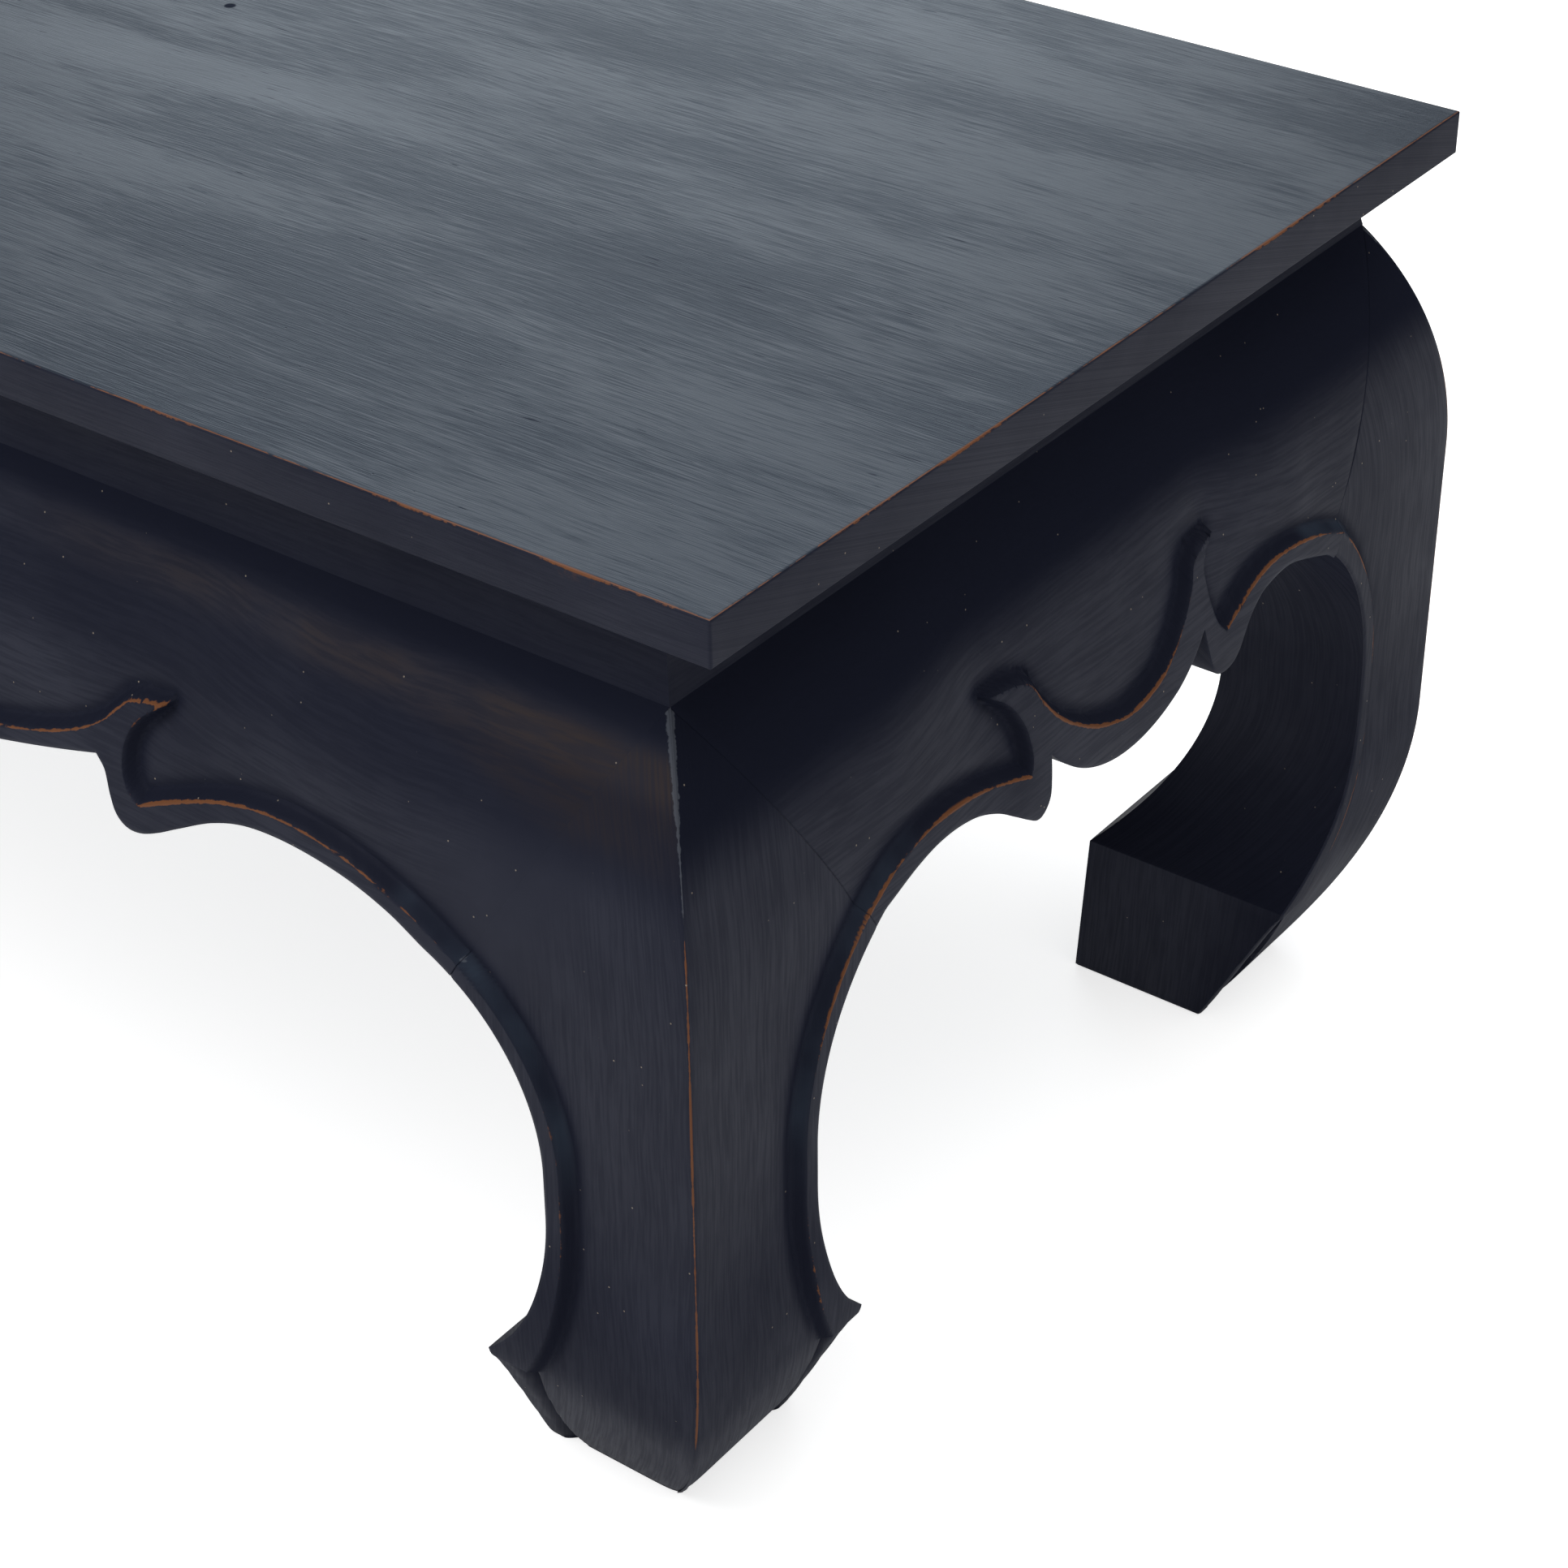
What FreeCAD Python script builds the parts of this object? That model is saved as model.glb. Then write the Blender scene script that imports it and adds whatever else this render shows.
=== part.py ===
import FreeCAD, Part
import Sketcher
import math
import os
from types import SimpleNamespace

# Low table with bowed legs, cusped aprons and a recessed waist under an overhanging top.
# Millimetres. The origin is on the floor under the middle of the top, X runs along the table,
# -Y is the front and +Z is up. "Reach" is measured inwards from a corner of the waist line,
# the rectangle that the waist's outer faces stand on; "drop" is measured down from the foot of the waist.

driving_sizes = {
    # overall
    "table_length": 1000,
    "table_width": 500,
    "table_height": 420,
    "top_thickness": 18.5,
    "end_overhang": 31,
    "side_overhang": 17,
    # waist
    "waist_height": 33.5,
    "waist_thickness": 18,
    "waist_cove": 2,
    # bowed outer surface of legs and aprons
    "side_bulge": 34.5,
    "end_bulge": 32,
    "side_foot_inset": 7,
    "end_foot_inset": 12,
    "shoulder_drop": 108,
    "foot_rise": 130,
    # leg outline
    "toe_reach": 73.5,
    "toe_height": 70,
    "calf_reach": 33.6,
    "knee_reach": 73.5,
    "calf_height_share": 0.435,
    "calf_straight": 18,
    # carved lower edge of the long aprons
    "side_spring_reach": 84,
    "side_spring_drop": 110,
    "side_crown_reach": 145,
    "side_crown_drop": 95.5,
    "side_turn_reach": 203,
    "side_turn_drop": 109,
    "side_cusp_reach": 222,
    "side_cusp_drop": 117.5,
    "side_nose_reach": 229.5,
    "side_nose_drop": 119,
    "side_lip_reach": 236.5,
    "side_lip_drop": 114,
    "side_notch_reach": 247,
    "side_notch_drop": 93.5,
    "side_lobe_drop": 122,
    "side_eye_reach": 222,
    "side_eye_drop": 105,
    "side_horn_reach": 212,
    "side_horn_drop": 63,
    "side_brow_reach": 255,
    "side_brow_drop": 84,
    # carved lower edge of the end aprons, set off centre towards the rear by the drift
    "end_spring_reach": 75,
    "end_spring_drop": 111,
    "end_crown_reach": 113,
    "end_crown_drop": 100.5,
    "end_turn_reach": 143.5,
    "end_turn_drop": 110.5,
    "end_cusp_reach": 165.5,
    "end_cusp_drop": 124,
    "end_nose_reach": 169,
    "end_nose_drop": 125.2,
    "end_lip_reach": 173,
    "end_lip_drop": 123,
    "end_notch_reach": 178,
    "end_notch_drop": 102,
    "end_lobe_drop": 127,
    "end_eye_reach": 160,
    "end_eye_drop": 104,
    "end_horn_reach": 153,
    "end_horn_drop": 64,
    "end_brow_reach": 185,
    "end_brow_drop": 88,
    "end_drift": 6.5,
    # raised border along the carved edges
    "bead_width": 10,
    "bead_rise": 4,
    "horn_bow_share": 0.28,
    "brow_bow_share": 0.1,
    # mitred joint between apron and leg
    "mitre_run": 102,
    "mitre_drop": 168,
    "apron_lean": 53,
    "key_reach": 58,
    "key_drop": 44,
    "key_thickness": 9,
    "key_height": 36,
    "key_length": 26,
    # tongue of the waist rail in the apron
    "waist_tongue_thickness": 6,
    "waist_tongue_depth": 6,
    # loose tongues between the top boards
    "top_tongue_width": 16,
    "top_tongue_thickness": 6,
    "top_tongue_stop": 40,
    # battens under the top, dovetailed up into the boards
    "batten_width": 40,
    "batten_height": 20,
    "batten_spread_share": 0.76,
    "batten_tenon_width": 28,
    "batten_tenon_height": 10,
    "batten_tenon_length": 8,
    "dovetail_neck": 20,
    "dovetail_flare": 3,
    "dovetail_depth": 5,
    # clearances
    "joint_clearance": 0.2,
    "overrun": 20,
}


class Size:
    # a value together with its formula in the sheet's names, so that every shape stays bound to the sheet
    def __init__(self, text, value):
        self.text = text
        self.value = value

    def combine(self, sign, other, value):
        return Size(f"({self.text} {sign} {asSize(other).text})", value)

    def __add__(self, other):
        return self.combine("+", other, self.value + asSize(other).value)

    def __sub__(self, other):
        return self.combine("-", other, self.value - asSize(other).value)

    def __mul__(self, other):
        return self.combine("*", other, self.value * asSize(other).value)

    def __truediv__(self, other):
        return self.combine("/", other, self.value / asSize(other).value)

    def __neg__(self):
        return Size(f"(0 - {self.text})", -self.value)


def asSize(value):
    return value if isinstance(value, Size) else Size(str(value), value)


def largest(first, second):
    return Size(f"max({first.text}; {second.text})", max(first.value, second.value))


doc = FreeCAD.newDocument("opium_table")
sheet = doc.addObject("Spreadsheet::Sheet", "sizes")
for row, (alias, value) in enumerate(driving_sizes.items(), start=1):
    sheet.set(f"A{row}", alias)
    sheet.set(f"B{row}", str(value))
    sheet.setAlias(f"B{row}", alias)
doc.recompute()

s = SimpleNamespace(**{alias: Size(f"sizes.{alias}", value) for alias, value in driving_sizes.items()})


def carvedSizes(prefix):
    names = [alias for alias in driving_sizes if alias.startswith(prefix)]
    return SimpleNamespace(**{alias[len(prefix):]: getattr(s, alias) for alias in names})


zero = asSize(0)
side = carvedSizes("side_")
side.drift = zero
end = carvedSizes("end_")

waist_x = s.table_length / 2 - s.end_overhang
waist_y = s.table_width / 2 - s.side_overhang
top_under = s.table_height - s.top_thickness
apron_top = top_under - s.waist_height
apron_low = apron_top - s.mitre_drop
bow_top = apron_top - s.shoulder_drop
calf_low = apron_top * s.calf_height_share
calf_high = calf_low + s.calf_straight
leg_reach = largest(s.toe_reach, s.knee_reach)
outer_x = waist_x + s.end_bulge + s.bead_rise + s.overrun
outer_y = waist_y + s.side_bulge + s.bead_rise + s.overrun
board_width = s.table_width / 3


def bindPlace(item, spot):
    for axis, value in zip("xyz", spot):
        item.setExpression(f"Placement.Base.{axis}", asSize(value).text)


def addSketch(body, plane_role, corners):
    # closed outline: each corner is (x, y, edge), where edge says how the line to the next corner runs:
    # None is straight, a pair is an arc through that point, a share is an arc bowed by that part
    # of its chord, to the left of travel
    plane = [item for item in body.Origin.OriginFeatures if item.Role == plane_role][0]
    sketch = body.newObject("Sketcher::SketchObject", f"{body.Name}_outline")
    sketch.AttachmentSupport = (plane, [""])
    sketch.MapMode = "FlatFace"

    def pin(geometry, point, x, y):
        for kind, value in (("DistanceX", x), ("DistanceY", y)):
            constraint = Sketcher.Constraint(kind, -1, 1, geometry, point, value.value)
            index = sketch.addConstraint(constraint)
            sketch.setExpression(f"Constraints[{index}]", value.text)

    edges = []
    for (x, y, edge), (next_x, next_y, _) in zip(corners, corners[1:] + corners[:1]):
        start = FreeCAD.Vector(x.value, y.value, 0)
        finish = FreeCAD.Vector(next_x.value, next_y.value, 0)
        if edge is None:
            geometry = sketch.addGeometry(Part.LineSegment(start, finish), False)
        else:
            middle = edge
            if isinstance(edge, Size):
                middle = ((x + next_x) / 2 - edge * (next_y - y), (y + next_y) / 2 + edge * (next_x - x))
            crest = FreeCAD.Vector(middle[0].value, middle[1].value, 0)
            geometry = sketch.addGeometry(Part.Arc(start, crest, finish), False)
            knot = sketch.addGeometry(Part.Point(crest), True)
            sketch.addConstraint(Sketcher.Constraint("PointOnObject", knot, 1, geometry))
            pin(knot, 1, *middle)
        first, second = sketch.getPoint(geometry, 1), sketch.getPoint(geometry, 2)
        forward = first.distanceToPoint(start) < second.distanceToPoint(start)
        edges.append((geometry, 1, 2) if forward else (geometry, 2, 1))
    for (edge, _, tail), (following, head, _) in zip(edges, edges[1:] + edges[:1]):
        sketch.addConstraint(Sketcher.Constraint("Coincident", edge, tail, following, head))
    for (x, y, _), (edge, head, _) in zip(corners, edges):
        pin(edge, head, x, y)
    return sketch


def addPrism(name, plane_role, corners, length, symmetric=True):
    body = doc.addObject("PartDesign::Body", name)
    sketch = addSketch(body, plane_role, corners)
    pad = body.newObject("PartDesign::Pad", f"{name}_pad")
    pad.Profile = sketch
    pad.SideType = "Symmetric" if symmetric else "One side"
    pad.setExpression("Length", length.text)
    return body


def addBlock(name, low, high):
    block = doc.addObject("Part::Box", name)
    bindPlace(block, low)
    for property_name, start, finish in zip(("Length", "Width", "Height"), low, high):
        block.setExpression(property_name, (asSize(finish) - start).text)
    return block


def addCommon(name, base, *tools):
    for tool in tools:
        common = doc.addObject("Part::Common", name)
        common.Base = base
        common.Tool = tool
        base = common
    return base


def addCut(name, base, *tools):
    for tool in tools:
        cut = doc.addObject("Part::Cut", name)
        cut.Base = base
        cut.Tool = tool
        base = cut
    return base


def addFuse(name, shapes):
    fuse = doc.addObject("Part::MultiFuse", name)
    fuse.Shapes = shapes
    fuse.Refine = True
    return fuse


def addGroup(name, shapes):
    group = doc.addObject("Part::Compound", name)
    group.Links = shapes
    return group


def tangentBow(across, along):
    # bow share of an arc that starts or ends straight along, having moved this far across
    ratio = across / along
    return Size(f"(tan(atan({ratio.text}) / 2) / 2)", math.tan(math.atan(ratio.value) / 2) / 2)


def bowedOutline(waist, size, rise):
    # cross-section of the whole base: bowed out between a rounded shoulder and a drawn-in foot
    foot = waist - size.foot_inset + rise
    bow = waist + size.bulge + rise
    top = waist + rise
    foot_bow = -tangentBow(size.bulge + size.foot_inset, s.foot_rise)
    shoulder_bow = -tangentBow(size.bulge, s.shoulder_drop)
    return [
        (foot, zero, foot_bow),
        (bow, s.foot_rise, None),
        (bow, bow_top, shoulder_bow),
        (top, apron_top, None),
        (-top, apron_top, shoulder_bow),
        (-bow, bow_top, None),
        (-bow, s.foot_rise, foot_bow),
        (-foot, zero, None),
    ]


def mirrored(leg, carving, middle, drift):
    # closes a half outline, from the right foot to the middle, with its mirror image on the left;
    # the carved corners sit this drift off centre
    def placed(corner, hand, shift):
        x, y, edge = corner
        if isinstance(edge, tuple):
            edge = (edge[0] * hand + shift, edge[1])
        return (x * hand + shift, y, edge)

    half = [(corner, zero) for corner in leg] + [(corner, drift) for corner in carving]
    right = [placed(corner, 1, shift) for corner, shift in half]
    right[-1] = (*right[-1][:2], middle)
    edges_back = [None] + [corner[2] for corner, _ in half[:-1]]
    left = [placed((*corner[:2], edge), -1, shift) for (corner, shift), edge in zip(half, edges_back)]
    return right + left[::-1]


def openingOutline(waist, size):
    # the open arch between two legs, with the cusped edge of the apron over it
    toe_bow = -tangentBow(s.toe_reach - s.calf_reach, calf_low - s.toe_height)
    arch_bow = -tangentBow(size.spring_reach - s.calf_reach, apron_top - size.spring_drop - calf_high)
    crown = (waist - size.crown_reach, apron_top - size.crown_drop)
    nose = (waist - size.nose_reach, apron_top - size.nose_drop)
    leg = [
        (waist - s.toe_reach, -s.overrun, None),
        (waist - s.toe_reach, s.toe_height, toe_bow),
        (waist - s.calf_reach, calf_low, None),
        (waist - s.calf_reach, calf_high, arch_bow),
        (waist - size.spring_reach, apron_top - size.spring_drop, crown),
    ]
    carving = [
        (waist - size.turn_reach, apron_top - size.turn_drop, None),
        (waist - size.cusp_reach, apron_top - size.cusp_drop, nose),
        (waist - size.lip_reach, apron_top - size.lip_drop, None),
        (waist - size.notch_reach, apron_top - size.notch_drop, None),
    ]
    return mirrored(leg, carving, (size.drift, apron_top - size.lobe_drop), size.drift)


def borderOutline(waist, size):
    # inner line of the raised border: a bead's width from the edge, drawn up to a horn over each cusp
    toe_x = waist - s.toe_reach + s.bead_width
    toe_y = s.toe_height - s.bead_width / 2
    calf_x = waist - s.calf_reach + s.bead_width
    spring_x = waist - size.spring_reach + s.bead_width / 2
    spring_y = apron_top - size.spring_drop + s.bead_width
    crown = (waist - size.crown_reach, apron_top - size.crown_drop + s.bead_width)
    leg = [
        (toe_x, -s.overrun, None),
        (toe_x, toe_y, -tangentBow(calf_x - toe_x, calf_low - toe_y)),
        (calf_x, calf_low, None),
        (calf_x, calf_high, -tangentBow(calf_x - spring_x, spring_y - calf_high)),
        (spring_x, spring_y, crown),
    ]
    carving = [
        (waist - size.eye_reach, apron_top - size.eye_drop, s.horn_bow_share),
        (waist - size.horn_reach, apron_top - size.horn_drop, -s.brow_bow_share),
        (waist - size.brow_reach, apron_top - size.brow_drop, None),
    ]
    return mirrored(leg, carving, (size.drift, apron_top - size.lobe_drop + s.bead_width), size.drift)


# The base as one carved block: a bowed pillow with raised borders, open under both pairs of aprons.
through_x = outer_x * 2
through_y = outer_y * 2
side_bow = addPrism("side_bow", "YZ_Plane", bowedOutline(waist_y, side, zero), through_x)
end_bow = addPrism("end_bow", "XZ_Plane", bowedOutline(waist_x, end, zero), through_y)
side_raised = addPrism("side_raised", "YZ_Plane", bowedOutline(waist_y, side, s.bead_rise), through_x)
end_raised = addPrism("end_raised", "XZ_Plane", bowedOutline(waist_x, end, s.bead_rise), through_y)
side_border = addPrism("side_border", "XZ_Plane", borderOutline(waist_x, side), through_y)
end_border = addPrism("end_border", "YZ_Plane", borderOutline(waist_y, end), through_x)
side_opening = addPrism("side_opening", "XZ_Plane", openingOutline(waist_x, side), through_y)
end_opening = addPrism("end_opening", "YZ_Plane", openingOutline(waist_y, end), through_x)
pillow = addCommon("pillow", side_bow, end_bow)
side_beads = addCommon("side_beads", side_border, side_raised)
end_beads = addCommon("end_beads", end_border, end_raised)
beaded = addFuse("beaded", [pillow, side_beads, end_beads])
carved = addCut("carved", beaded, side_opening, end_opening)


# The four sides. Each one runs along X or Y and stands across it, on the sign's side of the middle.
def makeRun(name, along_x, sign):
    return SimpleNamespace(
        name=name,
        along_x=along_x,
        sign=sign,
        face_plane="XZ_Plane" if along_x else "YZ_Plane",
        section_plane="YZ_Plane" if along_x else "XZ_Plane",
        along=waist_x if along_x else waist_y,
        across=waist_y if along_x else waist_x,
        outer=outer_y if along_x else outer_x,
        length=through_x if along_x else through_y,
        depth=through_y if along_x else through_x,
    )


runs = {
    "front": makeRun("front", True, -1),
    "rear": makeRun("rear", True, 1),
    "left": makeRun("left", False, -1),
    "right": makeRun("right", False, 1),
}


def turned(run, along, across):
    return (along, across) if run.along_x else (across, along)


def span(low, high, sign):
    return (low, high) if sign > 0 else (-high, -low)


def addMitreZone(run):
    # elevation of one side between the mitre lines that fall from the corners of the waist
    foot = run.along - s.mitre_run
    corners = [
        (foot, apron_low, None),
        (run.along, apron_top, None),
        (-run.along, apron_top, None),
        (-foot, apron_low, None),
    ]
    return addPrism(f"{run.name}_mitre", run.face_plane, corners, run.depth)


def addLeaningBoard(run):
    # section of one apron board: everything outside a back that leans outwards and down
    back_top = run.across - s.waist_thickness
    corners = [
        (run.outer * run.sign, apron_low, None),
        (run.outer * run.sign, apron_top, None),
        (back_top * run.sign, apron_top, None),
        ((back_top + s.apron_lean) * run.sign, apron_low, None),
    ]
    return addPrism(f"{run.name}_board", run.section_plane, corners, run.length)


def addPlanWedge(run):
    # plan of one side between the 45-degree lines through the corners of the waist
    flare = s.side_bulge + s.end_bulge + s.bead_rise + s.overrun
    wide, narrow = run.along + flare, run.along - s.waist_thickness
    far, near = (run.across + flare) * run.sign, (run.across - s.waist_thickness) * run.sign
    plan = [(wide, far), (narrow, near), (-narrow, near), (-wide, far)]
    corners = [(*turned(run, along, across), None) for along, across in plan]
    return addPrism(f"{run.name}_wedge", "XY_Plane", corners, s.table_height, symmetric=False)


for run in runs.values():
    run.wedge = addPlanWedge(run)
    run.blank = addCommon(f"{run.name}_blank", carved, addMitreZone(run), addLeaningBoard(run), run.wedge)

parts = {}


def keep(label, shape):
    shape.Label = label
    parts[label] = shape


# Aprons, each grooved for its waist rail and keyed to two legs.
def addKeys(name, run, clearance):
    # upright loose tenons, half in the back of the apron and half in the leg
    keys = []
    seat = run.across - s.waist_thickness + s.apron_lean * s.key_drop / s.mitre_drop
    half = s.key_length / 2 + clearance
    near, far = span(seat - half, seat + half, run.sign)
    thick = s.key_thickness / 2 + clearance
    tall = s.key_height / 2 + clearance
    middle = apron_top - s.key_drop
    for hand in (-1, 1):
        place = (run.along - s.key_reach) * hand
        low = (*turned(run, place - thick, near), middle - tall)
        high = (*turned(run, place + thick, far), middle + tall)
        keys.append(addBlock(f"{name}_{len(keys)}", low, high))
    return addGroup(name, keys)


def addGroove(run):
    half = s.waist_tongue_thickness / 2 + s.joint_clearance
    middle = run.across - s.waist_thickness / 2
    near, far = span(middle - half, middle + half, run.sign)
    reach = run.along + s.overrun
    low = (*turned(run, -reach, near), apron_top - s.waist_tongue_depth - s.joint_clearance)
    high = (*turned(run, reach, far), apron_top + s.overrun)
    return addBlock(f"{run.name}_groove", low, high)


for name, run in runs.items():
    run.sockets = addKeys(f"{name}_socket", run, s.joint_clearance)
    keep(f"{name}_apron_keys", addKeys(f"{name}_key", run, zero))
    keep(f"{name}_apron", addCut(f"{name}_apron_cut", run.blank, addGroove(run), run.sockets))


# Legs: the corners of the carved block around the aprons, each with a post up to the top.
def addCorner(name, x_sign, y_sign, x_limit, y_limit, bottom, top):
    x_low, x_high = span(waist_x - leg_reach, x_limit, x_sign)
    y_low, y_high = span(waist_y - leg_reach, y_limit, y_sign)
    return addBlock(name, (x_low, y_low, bottom), (x_high, y_high, top))


post_x = waist_x - s.waist_thickness
post_y = waist_y - s.waist_thickness
for long_run in (runs["front"], runs["rear"]):
    for short_run in (runs["left"], runs["right"]):
        name = f"{long_run.name}_{short_run.name}_leg"
        signs = (short_run.sign, long_run.sign)
        stock = addCorner(f"{name}_stock", *signs, outer_x, outer_y, zero, apron_top)
        post = addCorner(f"{name}_post", *signs, post_x, post_y, apron_top, top_under)
        limb = addCommon(f"{name}_limb", carved, stock)
        notched = addCut(f"{name}_notched", limb, long_run.blank, short_run.blank)
        whole = addFuse(f"{name}_whole", [notched, post])
        keep(name, addCut(f"{name}_mortised", whole, long_run.sockets, short_run.sockets))

# Battens across the underside of the top: dovetailed up into the boards, tenoned into the long waist rails.
batten_spread = (waist_x - leg_reach) * s.batten_spread_share
batten_places = {"left": -batten_spread, "middle": zero, "right": batten_spread}
batten_under = top_under - s.batten_height


def addTenons(name, place, clearance):
    half = s.batten_tenon_width / 2 + clearance
    reach = post_y + s.batten_tenon_length + clearance
    middle = top_under - s.batten_height / 2
    thick = s.batten_tenon_height / 2 + clearance
    return addBlock(name, (place - half, -reach, middle - thick), (place + half, reach, middle + thick))


def addDovetail(name, place, clearance):
    neck = s.dovetail_neck / 2 + clearance
    head = neck + s.dovetail_flare
    crest = top_under + s.dovetail_depth + clearance
    corners = [
        (place - neck, batten_under, None),
        (place + neck, batten_under, None),
        (place + neck, top_under, None),
        (place + head, crest, None),
        (place - head, crest, None),
        (place - neck, top_under, None),
    ]
    return addPrism(name, "XZ_Plane", corners, (post_y + clearance) * 2)


mortises = []
housings = []
for name, x in batten_places.items():
    half = s.batten_width / 2
    bar = addBlock(f"{name}_bar", (x - half, -post_y, batten_under), (x + half, post_y, top_under))
    dovetail = addDovetail(f"{name}_dovetail", x, zero)
    tenons = addTenons(f"{name}_tenons", x, zero)
    keep(f"{name}_top_batten", addFuse(f"{name}_batten", [bar, dovetail, tenons]))
    mortises.append(addTenons(f"{name}_mortises", x, s.joint_clearance))
    housings.append(addDovetail(f"{name}_housing", x, s.joint_clearance))


# Waist rails: coved outside, tongued into the aprons below and mitred at the corners.
def railSection(run):
    outside = run.across * run.sign
    inside = (run.across - s.waist_thickness) * run.sign
    tongue_middle = run.across - s.waist_thickness / 2
    tongue_inside = (tongue_middle - s.waist_tongue_thickness / 2) * run.sign
    tongue_outside = (tongue_middle + s.waist_tongue_thickness / 2) * run.sign
    tongue_low = apron_top - s.waist_tongue_depth
    cove = ((run.across - s.waist_cove) * run.sign, apron_top + s.waist_height / 2)
    return [
        (outside, apron_top, cove),
        (outside, top_under, None),
        (inside, top_under, None),
        (inside, apron_top, None),
        (tongue_inside, apron_top, None),
        (tongue_inside, tongue_low, None),
        (tongue_outside, tongue_low, None),
        (tongue_outside, apron_top, None),
    ]


mortise_set = addGroup("mortise_set", mortises)
for name, run in runs.items():
    strip = addPrism(f"{name}_rail_strip", run.section_plane, railSection(run), run.length)
    rail = addCommon(f"{name}_rail_mitred", strip, run.wedge)
    if run.along_x:
        rail = addCut(f"{name}_rail_mortised", rail, mortise_set)
    keep(f"{name}_waist_rail", rail)

# Top: three boards, with loose tongues stopped short of the ends.
half_length = s.table_length / 2
half_board = board_width / 2


def addTongue(name, y, clearance):
    reach = half_length - s.top_tongue_stop + clearance
    half = s.top_tongue_width / 2 + clearance
    middle = s.table_height - s.top_thickness / 2
    thick = s.top_tongue_thickness / 2 + clearance
    return addBlock(name, (-reach, y - half, middle - thick), (reach, y + half, middle + thick))


slots = []
for name, y in (("front", -half_board), ("rear", half_board)):
    slots.append(addTongue(f"{name}_slot", y, s.joint_clearance))
    keep(f"{name}_top_tongue", addTongue(f"{name}_tongue", y, zero))
slot_set = addGroup("slot_set", slots)
housing_set = addGroup("housing_set", housings)
for name, y in (("front", -board_width), ("middle", zero), ("rear", board_width)):
    low = (-half_length, y - half_board, top_under)
    plank = addBlock(f"{name}_plank", low, (half_length, y + half_board, s.table_height))
    keep(f"{name}_top_board", addCut(f"{name}_plank_cut", plank, slot_set, housing_set))

doc.recompute()
for item in doc.Objects:
    if "Invalid" in item.State or "Error" in item.State:
        raise RuntimeError(f"{item.Name} could not be built: {item.State}")
for label, part in parts.items():
    if part.Shape.isNull() or not part.Shape.isValid():
        raise RuntimeError(f"{label} has no valid shape")

os.makedirs("parts", exist_ok=True)
for label, part in parts.items():
    part.Shape.exportStep(f"parts/{label}.step")
    print(label, len(part.Shape.Solids), "solids", round(part.Shape.Volume), "cubic mm")
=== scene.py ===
import bmesh
import bpy
import math
import numpy as np
from mathutils import Matrix


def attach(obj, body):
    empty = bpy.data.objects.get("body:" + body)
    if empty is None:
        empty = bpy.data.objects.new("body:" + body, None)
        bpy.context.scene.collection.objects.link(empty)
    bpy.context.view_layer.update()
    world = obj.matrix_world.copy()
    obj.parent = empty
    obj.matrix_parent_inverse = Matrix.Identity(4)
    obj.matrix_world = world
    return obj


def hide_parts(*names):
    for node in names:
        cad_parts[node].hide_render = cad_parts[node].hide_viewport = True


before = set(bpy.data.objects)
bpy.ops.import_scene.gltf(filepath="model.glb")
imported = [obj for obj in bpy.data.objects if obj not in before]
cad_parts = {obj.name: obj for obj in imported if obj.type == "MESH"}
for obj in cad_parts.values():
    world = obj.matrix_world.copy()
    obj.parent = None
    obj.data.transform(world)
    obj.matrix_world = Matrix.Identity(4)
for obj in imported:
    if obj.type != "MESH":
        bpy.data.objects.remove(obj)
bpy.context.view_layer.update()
scene = bpy.context.scene
scene.view_settings.view_transform = "Standard"
print("frame loaded,", len(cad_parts), "nodes")

# the table's lengths are millimetres, turned into metres when a mesh is made; finishes and studio use metres
table = {
    "waistX": 469.0, "waistY": 233.0, "apronTop": 368.0, "topUnder": 401.5, "topFace": 420.0,
    "bowTop": 260.0, "footRise": 130.0, "shoulder": 108.0,
    "toeReach": 73.5, "toeTall": 70.0, "calfReach": 33.6, "calfLow": 160.08, "calfHigh": 178.08,
    "mitreRun": 102.0, "mitreDrop": 168.0, "apronThick": 18.0, "apronLean": 53.0,
    "beadLeg": 7.5, "beadToe": (54.5, 68.0), "beadSole": 61.0, "beadLow": -20,
    "beadRise": 4.0, "beadSlope": 4.4,
    "toeLedge": 66.0, "toeSunk": 5.0, "toeSole": 76.5,
    "toeStrip": ((0, 15, 33, 50, 60, 66), (2.0, -0.5, -1.4, -0.2, 1.6, 3.4)),
    "hollowDeep": 1.3, "hollowWide": 11.0,
    "flatShare": 0.85, "flatFall": 118, "flatCurve": 1.3, "flatLow": 250,
    "toePoints": 12, "curvePoints": 50,
}

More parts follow.
